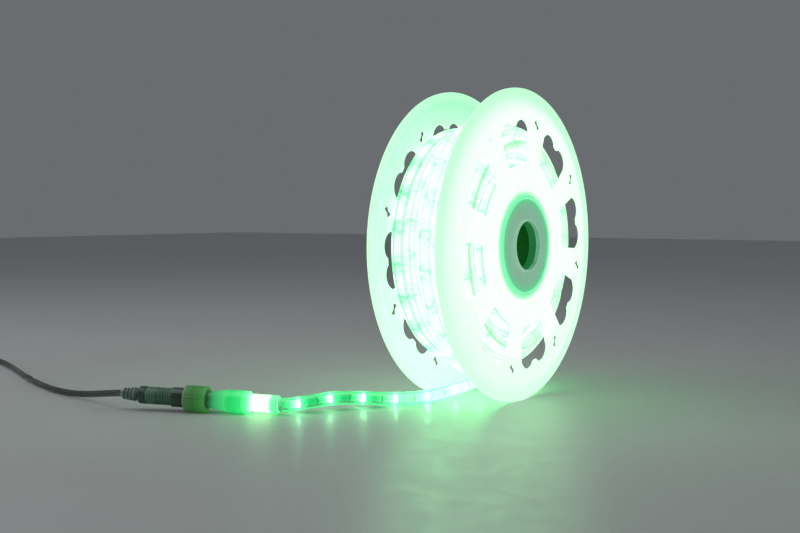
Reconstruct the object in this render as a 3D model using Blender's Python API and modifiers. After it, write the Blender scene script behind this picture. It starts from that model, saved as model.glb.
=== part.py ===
"""LED rope light on its plastic reel, with its connectors and its power lead.

The reel stands on the rims of its two flanges, its axis along X, on the floor at Z = 0.
The origin is on the floor under the middle of the reel. The loose end of the rope leaves
the bottom of the winding towards -Y and ends in a screw connector on the power lead.
Units are metres.
"""
import math

import bmesh
import bpy
from mathutils import Matrix, Vector

# Rope and winding
ROPE_DIAMETER = 0.0130
TURNS_PER_LAYER = 5
TURN_PITCH = 0.01484
LAYERS = 6
LAYER_PITCH = 0.0116
TURN_FLAT_ANGLE = math.radians(20.0)
TURN_EDGE_ANGLE = math.radians(62.0)

# Core tube
CORE_OUTER_RADIUS = 0.0473
CORE_WALL = 0.0063

# Flanges
FLANGE_RADIUS = 0.1550
WEB_THICKNESS = 0.0014
RIM_WIDTH = 0.0090
RIM_PROUD = 0.0009
DISH_DEPTH = 0.00414
DISH_INNER_RADIUS = 0.1330
HUB_PROUD = 0.00176
HUB_WALL = 0.0022
HUB_SIDE_WALL = 0.0016
HUB_RING_WIDTH = 0.0022
HUB_RING_PROUD = 0.0006
BORE_RADIUS = 0.0243
COLLAR_WALL = 0.0017
COLLAR_PROUD = 0.0022
COLLAR_LENGTH = 0.0124

# Windows and bow-tie slots of the flanges; clock angles run from the top towards +Y
WINDOW_COUNT = 8
NEAR_WINDOW_CLOCK = math.radians(-11.1)
FAR_WINDOW_CLOCK = math.radians(-6.6)
WINDOW_FOOT_RADIUS = 0.0805
WINDOW_FOOT_ANGLE = math.radians(9.8)
WINDOW_CORNER_RADIUS = 0.0865
WINDOW_CORNER_ANGLE = math.radians(13.4)
WINDOW_LOBE_TOP = 0.1240
WINDOW_LOBE_RADIUS = 0.0150
WINDOW_LOBE_ANGLE = math.radians(7.0)
WINDOW_HALF_ANGLE = math.radians(14.0)
LOBE_RISE_SHARES = (0.30, 0.60, 1.0)
LOBE_FALL_SHARES = (0.45, 0.80, 1.0)
TONGUE_RADIUS = 0.1184
TONGUE_HALF_WIDTH = 0.0024
SLOT_CENTRE_RADIUS = 0.1225
SLOT_LENGTH = 0.0108
SLOT_END_WIDTH = 0.0078
SLOT_WAIST = 0.0044
SLOT_SLANT = math.radians(45.0)

# Gaps between pieces
SEAT_GAP = 0.0003
COIL_SIDE_GAP = 0.0007
FLOOR_GAP = 0.0003

# Connectors on the rope's end, in order along their common axis
SLEEVE_RADIUS = 0.0083
SLEEVE_LENGTH = 0.0264
SLEEVE_CHAMFER = 0.0008
BODY_RADIUS = 0.0107
BODY_LENGTH = 0.0235
BODY_SWELL = 0.0004
BODY_STEP_LENGTH = 0.0020
RIBBED_END_RADIUS = 0.0087
RIBBED_LENGTH = 0.0136
NECK_RADIUS = 0.0079
NECK_LENGTH = 0.0058
SPIGOT_RADIUS = 0.0096
SPIGOT_LENGTH = 0.0140
NUT_RADIUS = 0.01225
NUT_LIP = 0.0046
THREAD_CLEARANCE = 0.0003
SHOULDER_LENGTH = 0.0026
LIP_HOLE_RADIUS = 0.0076
COLLAR_STEP_RADIUS = 0.0093
COLLAR_STEP_LENGTH = 0.0127
LEAD_BODY_RADIUS = 0.0083
LEAD_BODY_LENGTH = 0.0256
CONTACT_RADIUS = 0.0050
CONTACT_DEPTH = 0.0125
CAP_RADIUS = 0.0084
CAP_LENGTH = 0.0093
CAP_CHAMFER = 0.0030
RELIEF_RING_RADIUS = 0.0066
RELIEF_CORE_RADIUS = 0.0050
RELIEF_RINGS = 4
RELIEF_PITCH = 0.0035
RELIEF_GROOVE_SHARE = 0.30

# Power lead, coil and plug
LEAD_DIAMETER = 0.0066
LEAD_COIL_CENTRE = Vector((-0.672, -0.190))
LEAD_COIL_INNER_TURN = 0.0294
LEAD_COIL_TURNS_WIDE = 3
LEAD_COIL_CORNER_SHARE = 0.35
TIE_THICKNESS = 0.0008
TIE_WIDTH = 0.0070
TIE_SIDE_GAP = 0.0006
TIE_CLOCK = math.radians(-20.0)
PLUG_LENGTH = 0.0260
PLUG_WIDTH = 0.0240
PLUG_THICKNESS = 0.0140
PLUG_EDGE = 0.0025
PLUG_NECK_LENGTH = 0.0140
PLUG_NECK_RADIUS = 0.0052
PLUG_NECK_TAPER = 0.0112
PLUG_NECK_ROOT = 0.0065
PLUG_NECK_WALL = 0.0008
PLUG_NECK_STEPS = 16
BLADE_LENGTH = 0.0165
BLADE_WIDTH = 0.0063
BLADE_THICKNESS = 0.0015
BLADE_SPACING = 0.0127

# Sides of the round pieces
REEL_STEPS = 64
WINDING_STEPS = 40
CONNECTOR_STEPS = 20
LEAD_COIL_STEPS = 28
ROUTE_STEPS = 24

# The loose end of the rope, from the winding to the sleeve, and where the sleeve points
TAIL_ROUTE = [
    (0.0042, 0.0623, 0.0480),
    (0.0020, 0.0300, 0.0312),
    (-0.0080, -0.0067, 0.0170),
    (-0.0180, -0.0440, 0.0106),
    (-0.0305, -0.0735, 0.0070),
    (-0.0475, -0.0985, 0.0072),
    (-0.0628, -0.1214, 0.0096),
    (-0.0800, -0.1480, 0.0118),
    (-0.0955, -0.1760, 0.0100),
]
ROPE_END = Vector((-0.1099, -0.1945))
CHAIN_HEADING = math.radians(180.0 + 24.4)
TAIL_RUN_IN = 0.0090

# The power lead along the floor, from the strain relief to the coil, then to the plug
LEAD_RUN_OUT = 0.0060
LEAD_ROUTE = [
    (-0.2700, -0.2568, 0.0133),
    (-0.2880, -0.2530, 0.0106),
    (-0.3060, -0.2493, 0.0080),
    (-0.3250, -0.2455, 0.0056),
    (-0.3520, -0.2425, 0.0039),
    (-0.3860, -0.2355, 0.0035),
    (-0.4380, -0.2175, 0.0035),
    (-0.4850, -0.1970, 0.0035),
    (-0.5277, -0.1768, 0.0035),
    (-0.5700, -0.1575, 0.0035),
    (-0.6120, -0.1413, 0.0035),
    (-0.6390, -0.1376, 0.0040),
    (-0.6604, -0.1430, 0.0044),
]
PLUG_HEADING = Vector((0.875, -0.484)).normalized()
PLUG_RUN_START = Vector((-0.6680, -0.2371, 0.0087))
PLUG_RUN_END = Vector((-0.6420, -0.2515, 0.0073))

# Worked-out sizes of the winding and the reel
ON_CORE_RADIUS = CORE_OUTER_RADIUS + SEAT_GAP
WINDING_WIDTH = (TURNS_PER_LAYER - 0.5) * TURN_PITCH + ROPE_DIAMETER
INNER_HALF_WIDTH = WINDING_WIDTH / 2 + COIL_SIDE_GAP
HUB_RADIUS = ON_CORE_RADIUS + HUB_SIDE_WALL
HUB_FACE = WEB_THICKNESS + HUB_PROUD
HUB_UNDERSIDE = HUB_FACE - HUB_WALL
FLANGE_CENTRE_Z = FLANGE_RADIUS * math.cos(math.pi / REEL_STEPS)
NESTED_RISE = math.sqrt(0.75)
CUTTER_LENGTH = 0.02


def clear_scene():
    """Remove what the file holds, so that only the part is left."""
    for old in list(bpy.data.objects):
        bpy.data.objects.remove(old, do_unlink=True)


def make_collection(name):
    """Return a collection of that name, linked to the scene."""
    collection = bpy.data.collections.new(name)
    bpy.context.scene.collection.children.link(collection)
    return collection


clear_scene()
PART = make_collection("led_rope_light")
CUTTERS = make_collection("cutters")


def make_material(name, colour, roughness, metallic=0.0):
    """Return a Principled material of one colour."""
    material = bpy.data.materials.new(name)
    material.use_nodes = True
    shader = material.node_tree.nodes["Principled BSDF"]
    shader.inputs["Base Color"].default_value = (*colour, 1.0)
    shader.inputs["Roughness"].default_value = roughness
    shader.inputs["Metallic"].default_value = metallic
    return material


def add_object(name, data, material, matrix=None):
    """Place a mesh or curve in the part's collection."""
    obj = bpy.data.objects.new(name, data)
    PART.objects.link(obj)
    data.materials.append(material)
    if matrix is not None:
        obj.matrix_world = matrix
    return obj


def hide_as_cutter(obj):
    """Mark an object as a cutter, which is no part of the model."""
    for collection in list(obj.users_collection):
        collection.objects.unlink(obj)
    CUTTERS.objects.link(obj)
    obj.hide_render = True
    obj.display_type = "WIRE"


def turned(name, profile, material, matrix, steps, closed=False):
    """Turn a profile of (radius, height) points round the local Z axis.

    The profile runs down the outer side. A closed one is a ring with a bore; an open one
    starts and ends on the axis.
    """
    mesh = bpy.data.meshes.new(name)
    points = [(radius, 0.0, height) for radius, height in profile]
    edges = [(i, i + 1) for i in range(len(points) - 1)]
    if closed:
        edges.append((len(points) - 1, 0))
    mesh.from_pydata(points, edges, [])
    obj = add_object(name, mesh, material, matrix)
    screw = obj.modifiers.new("turn", "SCREW")
    screw.axis = "Z"
    screw.angle = math.tau
    screw.steps = steps
    screw.render_steps = steps
    screw.use_merge_vertices = True
    screw.merge_threshold = 0.00001
    screw.use_smooth_shade = True
    return obj


def flat_outline(name, loops, thickness):
    """Return a mesh of flat loops filled and thickened about their own XY plane."""
    curve = bpy.data.curves.new(name, "CURVE")
    curve.dimensions = "2D"
    curve.fill_mode = "BOTH"
    curve.extrude = thickness / 2
    for loop in loops:
        spline = curve.splines.new("POLY")
        spline.points.add(len(loop) - 1)
        for point, (x, y) in zip(spline.points, loop):
            point.co = (x, y, 0.0, 1.0)
        spline.use_cyclic_u = True
    holder = bpy.data.objects.new(name, curve)
    bpy.context.scene.collection.objects.link(holder)
    bpy.context.view_layer.update()
    evaluated = holder.evaluated_get(bpy.context.evaluated_depsgraph_get())
    mesh = bpy.data.meshes.new_from_object(evaluated)
    bpy.data.objects.remove(holder, do_unlink=True)
    solid = bmesh.new()
    solid.from_mesh(mesh)
    bmesh.ops.remove_doubles(solid, verts=solid.verts, dist=0.00001)
    bmesh.ops.recalc_face_normals(solid, faces=solid.faces)
    solid.to_mesh(mesh)
    solid.free()
    return mesh


def smooth_route(points, spacing):
    """Return evenly spaced points on one smooth curve through the route's points."""
    ends = [points[0] * 2 - points[1], *points, points[-1] * 2 - points[-2]]
    dense = []
    for before, start, end, after in zip(ends, ends[1:], ends[2:], ends[3:]):
        for step in range(ROUTE_STEPS):
            t = step / ROUTE_STEPS
            dense.append(0.5 * (
                2 * start
                + (end - before) * t
                + (2 * before - 5 * start + 4 * end - after) * t ** 2
                + (3 * start - before - 3 * end + after) * t ** 3
            ))
    dense.append(points[-1])
    lengths = [0.0]
    for start, end in zip(dense, dense[1:]):
        lengths.append(lengths[-1] + (end - start).length)
    count = max(2, round(lengths[-1] / spacing))
    evenly = []
    at = 0
    for step in range(count + 1):
        target = lengths[-1] * step / count
        while at < len(dense) - 2 and lengths[at + 1] < target:
            at += 1
        span = lengths[at + 1] - lengths[at]
        evenly.append(dense[at].lerp(dense[at + 1], (target - lengths[at]) / span))
    return evenly


def tube(name, points, radius, material, resolution=2):
    """A round cord along a list of points, with flat ends."""
    curve = bpy.data.curves.new(name, "CURVE")
    curve.dimensions = "3D"
    curve.bevel_depth = radius
    curve.bevel_resolution = resolution
    curve.use_fill_caps = True
    spline = curve.splines.new("POLY")
    spline.points.add(len(points) - 1)
    for point, co in zip(spline.points, points):
        point.co = (*co, 1.0)
    return add_object(name, curve, material)


def clock_point(radius, clock):
    """A point of the flange plane as (local X, local Y); local X points down, Y to +Y."""
    return (-radius * math.cos(clock), radius * math.sin(clock))


def reel_matrix(side):
    """Local Z along the reel's axis, out of the reel on that side, a flat side down."""
    centre = Matrix.Translation((side * INNER_HALF_WIDTH, 0.0, FLANGE_CENTRE_Z))
    facing = Matrix.Rotation(side * math.pi / 2, 4, "Y")
    return centre @ facing @ Matrix.Rotation(math.pi / REEL_STEPS, 4, "Z")


def flange_profile():
    """Rim, dished web, raised hub with its ring, and bore collar.

    Height 0 is the inner face of the web, which bulges out of the reel past the rim.
    """
    rim_top = WEB_THICKNESS + RIM_PROUD - DISH_DEPTH
    rim_inner = FLANGE_RADIUS - RIM_WIDTH
    dish_outer = rim_inner - RIM_PROUD
    collar_outer = BORE_RADIUS + COLLAR_WALL
    collar_top = HUB_FACE + COLLAR_PROUD
    ring_top = HUB_FACE + HUB_RING_PROUD
    return [
        (FLANGE_RADIUS, rim_top),
        (FLANGE_RADIUS, -RIM_PROUD - DISH_DEPTH),
        (rim_inner, -RIM_PROUD - DISH_DEPTH),
        (dish_outer, -DISH_DEPTH),
        (DISH_INNER_RADIUS, 0.0),
        (ON_CORE_RADIUS, 0.0),
        (ON_CORE_RADIUS, HUB_UNDERSIDE),
        (collar_outer, HUB_UNDERSIDE),
        (collar_outer, collar_top - COLLAR_LENGTH),
        (BORE_RADIUS, collar_top - COLLAR_LENGTH),
        (BORE_RADIUS, collar_top),
        (collar_outer, collar_top),
        (collar_outer, HUB_FACE),
        (HUB_RADIUS - HUB_RING_WIDTH, HUB_FACE),
        (HUB_RADIUS - HUB_RING_WIDTH, ring_top),
        (HUB_RADIUS, ring_top),
        (HUB_RADIUS, WEB_THICKNESS),
        (DISH_INNER_RADIUS, WEB_THICKNESS),
        (dish_outer, WEB_THICKNESS - DISH_DEPTH),
        (rim_inner, rim_top),
    ]


def window_outline():
    """A window: straight sides, a rounded foot and two round lobes about a tongue."""
    def lobe(angle):
        # radius reached at that clock angle by the lobe's circle
        centre = WINDOW_LOBE_TOP - WINDOW_LOBE_RADIUS
        off = abs(angle) - WINDOW_LOBE_ANGLE
        across = centre * math.sin(off)
        return centre * math.cos(off) + math.sqrt(WINDOW_LOBE_RADIUS ** 2 - across ** 2)

    half = []
    tongue_angle = TONGUE_HALF_WIDTH / TONGUE_RADIUS
    half.append((TONGUE_RADIUS, tongue_angle))
    for share in LOBE_RISE_SHARES:
        angle = tongue_angle + (WINDOW_LOBE_ANGLE - tongue_angle) * share
        half.append((lobe(angle), angle))
    for share in LOBE_FALL_SHARES:
        angle = WINDOW_LOBE_ANGLE + (WINDOW_HALF_ANGLE - WINDOW_LOBE_ANGLE) * share
        half.append((lobe(angle), angle))
    half.append((WINDOW_CORNER_RADIUS, WINDOW_CORNER_ANGLE))
    half.append((WINDOW_FOOT_RADIUS, WINDOW_FOOT_ANGLE))
    return half + [(radius, -angle) for radius, angle in reversed(half)]


def slot_outline(clock):
    """A bow-tie slot, leaning so that its outer end points up in the upper half."""
    lean = -SLOT_SLANT if math.sin(clock) > 0 else SLOT_SLANT
    if math.cos(clock) < 0:
        lean = -lean
    half_length = SLOT_LENGTH / 2
    half_end = SLOT_END_WIDTH / 2
    half_waist = SLOT_WAIST / 2
    shape = [
        (half_length, half_end),
        (0.0, half_waist),
        (-half_length, half_end),
        (-half_length, -half_end),
        (0.0, -half_waist),
        (half_length, -half_end),
    ]
    loop = []
    for along, across in shape:
        out = along * math.cos(lean) - across * math.sin(lean)
        side = along * math.sin(lean) + across * math.cos(lean)
        radial = Vector(clock_point(1.0, clock))
        tangent = Vector(clock_point(1.0, clock + math.pi / 2))
        point = radial * (SLOT_CENTRE_RADIUS + out) + tangent * side
        loop.append((point.x, point.y))
    return loop


def window_cutter(side, first_clock):
    """A cutter through one flange, with its windows and slots."""
    loops = []
    pitch = math.tau / WINDOW_COUNT
    for index in range(WINDOW_COUNT):
        clock = first_clock + index * pitch
        loops.append([clock_point(r, clock + a) for r, a in window_outline()])
        loops.append(slot_outline(clock + pitch / 2))
    mesh = flat_outline("window_cutter", loops, CUTTER_LENGTH)
    centre = Matrix.Translation((side * INNER_HALF_WIDTH, 0.0, FLANGE_CENTRE_Z))
    cutter = bpy.data.objects.new("window_cutter", mesh)
    PART.objects.link(cutter)
    cutter.matrix_world = centre @ Matrix.Rotation(math.pi / 2, 4, "Y")
    hide_as_cutter(cutter)
    return cutter


def add_flanges():
    """The two flange mouldings, the same piece facing out, turned a little on the tube."""
    plastic = make_material("reel_plastic", (0.78, 0.95, 0.85), 0.35)
    for side, name, clock in ((1, "reel_flange_near", NEAR_WINDOW_CLOCK),
                              (-1, "reel_flange_far", FAR_WINDOW_CLOCK)):
        flange = turned(name, flange_profile(), plastic, reel_matrix(side), REEL_STEPS, True)
        cut = flange.modifiers.new("windows", "BOOLEAN")
        cut.operation = "DIFFERENCE"
        cut.solver = "EXACT"
        cut.object = window_cutter(side, clock)


def add_core_tube():
    """The tube that the rope is wound on; its ends sit inside the two hubs."""
    half = INNER_HALF_WIDTH + HUB_UNDERSIDE - SEAT_GAP
    inner = CORE_OUTER_RADIUS - CORE_WALL
    profile = [
        (CORE_OUTER_RADIUS, half),
        (CORE_OUTER_RADIUS, -half),
        (inner, -half),
        (inner, half),
    ]
    card = make_material("core_plastic", (0.72, 0.86, 0.78), 0.5)
    centre = Matrix.Translation((0.0, 0.0, FLANGE_CENTRE_Z)) @ Matrix.Rotation(math.pi / 2, 4, "Y")
    turned("reel_core_tube", profile, card, centre, WINDING_STEPS, True)


def turn_bump(radius, height, facing):
    """Four points round one turn of rope, on the side that faces that way.

    facing is the direction in the (radius, height) plane; the flat between the middle
    two points touches the rope's circle.
    """
    rope = ROPE_DIAMETER / 2
    corner = rope / math.cos(TURN_FLAT_ANGLE)
    bump = []
    for turn, reach in ((TURN_EDGE_ANGLE, rope), (TURN_FLAT_ANGLE, corner),
                        (-TURN_FLAT_ANGLE, corner), (-TURN_EDGE_ANGLE, rope)):
        angle = facing + turn
        bump.append((radius + reach * math.cos(angle), height + reach * math.sin(angle)))
    return bump


def winding_profile():
    """The outline of nested turns: each layer lies in the hollows of the one below.

    The first layer and every second one after it reach the near flange, the others and
    the outermost reach the far flange.
    """
    rope = ROPE_DIAMETER / 2
    edge = WINDING_WIDTH / 2
    radii = [ON_CORE_RADIUS + rope + i * LAYER_PITCH for i in range(LAYERS)]
    near_layers = radii[0::2]
    far_layers = radii[1::2]
    profile = []
    for turn in range(TURNS_PER_LAYER - 1, -1, -1):
        profile += turn_bump(radii[-1], -edge + rope + turn * TURN_PITCH, 0.0)
    for radius in reversed(far_layers):
        profile += turn_bump(radius, -edge + rope, -math.pi / 2)
    profile.append((ON_CORE_RADIUS, -edge + ROPE_DIAMETER))
    profile.append((ON_CORE_RADIUS, edge - rope))
    for radius in near_layers:
        profile += turn_bump(radius, edge - rope, math.pi / 2)
    return profile


def add_winding():
    """The wound rope as one turned solid, with its turns on its outside and its ends."""
    rope = make_material("rope_wound", (0.45, 0.95, 0.62), 0.2)
    centre = Matrix.Translation((0.0, 0.0, FLANGE_CENTRE_Z)) @ Matrix.Rotation(math.pi / 2, 4, "Y")
    turned("rope_coil", winding_profile(), rope, centre, WINDING_STEPS, True)


def chain_places():
    """Where each connector piece starts and ends along the common axis."""
    places = {}
    places["sleeve"] = (SEAT_GAP, SEAT_GAP + SLEEVE_LENGTH)
    body_start = places["sleeve"][1] + SEAT_GAP
    body_end = body_start + BODY_LENGTH
    places["body"] = (body_start, body_end)
    places["ribbed"] = (body_end, body_end + RIBBED_LENGTH)
    neck_end = places["ribbed"][1] + NECK_LENGTH
    places["neck"] = (places["ribbed"][1], neck_end)
    places["spigot"] = (neck_end, neck_end + SPIGOT_LENGTH)
    shoulder_start = places["spigot"][1] + SEAT_GAP
    places["shoulder"] = (shoulder_start, shoulder_start + SHOULDER_LENGTH)
    lip_start = places["shoulder"][1] + SEAT_GAP
    places["lip"] = (lip_start, lip_start + NUT_LIP)
    places["nut"] = (neck_end, lip_start + NUT_LIP)
    collar_start = places["nut"][1] + SEAT_GAP
    places["collar"] = (collar_start, collar_start + COLLAR_STEP_LENGTH)
    places["lead_body"] = (places["collar"][1], places["collar"][1] + LEAD_BODY_LENGTH)
    cap_start = places["lead_body"][1] + SEAT_GAP
    places["cap"] = (cap_start, cap_start + CAP_LENGTH)
    relief_start = places["cap"][1] + SEAT_GAP
    places["relief"] = (relief_start, relief_start + RELIEF_RINGS * RELIEF_PITCH)
    return places


PLACES = chain_places()


def chain_direction():
    """Unit vector along the connectors, which rest on the nut and on the rope's body."""
    nut_middle = sum(PLACES["nut"]) / 2
    body_middle = sum(PLACES["body"]) / 2
    rise = (NUT_RADIUS - BODY_RADIUS) / (nut_middle - body_middle)
    flat = math.sqrt(1.0 - rise ** 2)
    return Vector((flat * math.cos(CHAIN_HEADING), flat * math.sin(CHAIN_HEADING), rise))


def chain_start():
    """The rope's end, at the height that lets the nut rest on the floor."""
    rise = chain_direction().z
    height = NUT_RADIUS + FLOOR_GAP - rise * sum(PLACES["nut"]) / 2
    return Vector((ROPE_END.x, ROPE_END.y, height))


def matrix_along(start, direction):
    """A matrix with its origin at start and its local Z along direction."""
    turn = direction.to_track_quat("Z", "Y").to_matrix().to_4x4()
    return Matrix.Translation(start) @ turn


def add_tail():
    """The loose end of the rope, from the bottom of the winding to its sleeve."""
    start = chain_start()
    route = [Vector(point) for point in TAIL_ROUTE]
    route.append(start - chain_direction() * TAIL_RUN_IN)
    rope = make_material("rope_loose", (0.40, 0.92, 0.60), 0.15)
    points = [*smooth_route(route, ROPE_DIAMETER), start]
    tube("rope_tail", points, ROPE_DIAMETER / 2, rope)


def add_connectors():
    """Sleeve, rope connector, nut, lead connector, its contact block, cap and relief."""
    matrix = matrix_along(chain_start(), chain_direction())
    start, end = PLACES["sleeve"]
    sleeve_profile = [
        (0.0, end),
        (SLEEVE_RADIUS - SLEEVE_CHAMFER, end),
        (SLEEVE_RADIUS, end - SLEEVE_CHAMFER),
        (SLEEVE_RADIUS, start + SLEEVE_CHAMFER),
        (SLEEVE_RADIUS - SLEEVE_CHAMFER, start),
        (0.0, start),
    ]
    clear = make_material("sleeve_clear", (0.80, 0.98, 0.88), 0.2)
    turned("rope_end_sleeve", sleeve_profile, clear, matrix, CONNECTOR_STEPS)

    start, end = PLACES["body"]
    ribbed_end = PLACES["ribbed"][1]
    neck_end = PLACES["neck"][1]
    spigot_end = PLACES["spigot"][1]
    rope_connector_profile = [
        (0.0, spigot_end),
        (SPIGOT_RADIUS, spigot_end),
        (SPIGOT_RADIUS, neck_end),
        (NECK_RADIUS, neck_end),
        (NECK_RADIUS, ribbed_end),
        (RIBBED_END_RADIUS, ribbed_end),
        (BODY_RADIUS - BODY_SWELL, end),
        (BODY_RADIUS, (start + end) / 2),
        (BODY_RADIUS - BODY_SWELL, start + BODY_STEP_LENGTH),
        (SLEEVE_RADIUS, start),
        (0.0, start),
    ]
    green = make_material("connector_green", (0.10, 0.85, 0.35), 0.3)
    turned("rope_connector", rope_connector_profile, green, matrix, CONNECTOR_STEPS)

    start, end = PLACES["nut"]
    lip_start = PLACES["lip"][0]
    bore = SPIGOT_RADIUS + THREAD_CLEARANCE
    nut_profile = [
        (NUT_RADIUS, end),
        (NUT_RADIUS, start),
        (bore, start),
        (bore, lip_start),
        (LIP_HOLE_RADIUS, lip_start),
        (LIP_HOLE_RADIUS, end),
    ]
    olive = make_material("nut_translucent", (0.25, 0.62, 0.30), 0.35)
    turned("coupling_nut", nut_profile, olive, matrix, CONNECTOR_STEPS, True)

    shoulder_start, shoulder_end = PLACES["shoulder"]
    collar_start, collar_end = PLACES["collar"]
    body_end = PLACES["lead_body"][1]
    pocket = CONTACT_RADIUS + SEAT_GAP
    pocket_end = collar_end + CONTACT_DEPTH
    waist = LIP_HOLE_RADIUS - THREAD_CLEARANCE
    lead_connector_profile = [
        (0.0, body_end),
        (LEAD_BODY_RADIUS, body_end),
        (LEAD_BODY_RADIUS, collar_end),
        (COLLAR_STEP_RADIUS, collar_end),
        (COLLAR_STEP_RADIUS, collar_start),
        (waist, collar_start),
        (waist, shoulder_end),
        (SPIGOT_RADIUS, shoulder_end),
        (SPIGOT_RADIUS, shoulder_start),
        (pocket, shoulder_start),
        (pocket, pocket_end),
        (0.0, pocket_end),
    ]
    smoke = make_material("lead_connector_clear", (0.30, 0.45, 0.38), 0.25)
    turned("lead_connector", lead_connector_profile, smoke, matrix, CONNECTOR_STEPS)

    contact_profile = [
        (0.0, pocket_end - SEAT_GAP),
        (CONTACT_RADIUS, pocket_end - SEAT_GAP),
        (CONTACT_RADIUS, shoulder_start),
        (0.0, shoulder_start),
    ]
    dark = make_material("contact_dark", (0.03, 0.05, 0.04), 0.5)
    turned("contact_block", contact_profile, dark, matrix, CONNECTOR_STEPS)

    start, end = PLACES["cap"]
    cap_profile = [
        (0.0, end),
        (CAP_RADIUS - CAP_CHAMFER, end),
        (CAP_RADIUS, end - CAP_CHAMFER),
        (CAP_RADIUS, start),
        (0.0, start),
    ]
    teal = make_material("cap_teal", (0.10, 0.25, 0.24), 0.3)
    turned("cable_entry_cap", cap_profile, teal, matrix, CONNECTOR_STEPS)

    start, end = PLACES["relief"]
    relief_profile = [(0.0, end)]
    for ring in reversed(range(RELIEF_RINGS)):
        foot = start + ring * RELIEF_PITCH
        groove = RELIEF_PITCH * RELIEF_GROOVE_SHARE
        relief_profile += [
            (RELIEF_RING_RADIUS, foot + RELIEF_PITCH),
            (RELIEF_RING_RADIUS, foot + groove),
            (RELIEF_CORE_RADIUS, foot + groove),
            (RELIEF_CORE_RADIUS, foot),
        ]
    relief_profile.append((0.0, start))
    clear_relief = make_material("relief_clear", (0.42, 0.60, 0.52), 0.3)
    turned("strain_relief", relief_profile, clear_relief, matrix, CONNECTOR_STEPS)


def lead_coil_heights():
    """Foot, first-row top and top of the coiled lead; the tie passes under it."""
    foot = TIE_THICKNESS + SEAT_GAP
    first_row = foot + LEAD_DIAMETER
    return foot, first_row, first_row + LEAD_DIAMETER * NESTED_RISE


def add_lead():
    """The lead along the floor, its round coil and its run to the plug."""
    lead_skin = make_material("lead_clear", (0.25, 0.33, 0.32), 0.25)
    radius = LEAD_DIAMETER / 2
    direction = chain_direction()
    exit_point = chain_start() + direction * (PLACES["relief"][1] + SEAT_GAP)
    route = [exit_point + direction * LEAD_RUN_OUT]
    route += [Vector(point) for point in LEAD_ROUTE]
    points = [exit_point, *smooth_route(route, 2 * LEAD_DIAMETER)]
    tube("lead_cord", points, radius, lead_skin)

    foot, first_row, top = lead_coil_heights()
    inner = LEAD_COIL_INNER_TURN - radius
    outer = inner + LEAD_COIL_TURNS_WIDE * LEAD_DIAMETER
    corner = radius * LEAD_COIL_CORNER_SHARE
    coil_profile = [
        (outer - radius - corner, top),
        (outer - radius, top - corner),
        (outer, first_row - radius),
        (outer, foot + corner),
        (outer - corner, foot),
        (inner + corner, foot),
        (inner, foot + corner),
        (inner, first_row - radius),
        (inner + radius, top - corner),
        (inner + radius + corner, top),
    ]
    centre = Matrix.Translation((LEAD_COIL_CENTRE.x, LEAD_COIL_CENTRE.y, 0.0))
    turned("lead_coil", coil_profile, lead_skin, centre, LEAD_COIL_STEPS, True)

    route = [PLUG_RUN_START, PLUG_RUN_START.lerp(PLUG_RUN_END, 0.5), PLUG_RUN_END]
    tube("lead_cord_end", smooth_route(route, LEAD_DIAMETER), radius, lead_skin)


def add_tie():
    """The flat strap round one side of the coiled lead."""
    foot, first_row, top = lead_coil_heights()
    inner = LEAD_COIL_INNER_TURN - LEAD_DIAMETER / 2
    outer = inner + LEAD_COIL_TURNS_WIDE * LEAD_DIAMETER
    low = (inner - TIE_SIDE_GAP, TIE_THICKNESS)
    high = (outer + TIE_SIDE_GAP, top + SEAT_GAP)

    def rectangle(grow):
        return [
            (low[0] - grow, low[1] - grow),
            (high[0] + grow, low[1] - grow),
            (high[0] + grow, high[1] + grow),
            (low[0] - grow, high[1] + grow),
        ]

    mesh = flat_outline("lead_coil_tie", [rectangle(TIE_THICKNESS), rectangle(0.0)], TIE_WIDTH)
    black = make_material("tie_black", (0.03, 0.03, 0.03), 0.5)
    centre = Matrix.Translation((LEAD_COIL_CENTRE.x, LEAD_COIL_CENTRE.y, 0.0))
    upright = Matrix.Rotation(TIE_CLOCK, 4, "Z") @ Matrix.Rotation(math.pi / 2, 4, "X")
    add_object("lead_coil_tie", mesh, black, centre @ upright)


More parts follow.
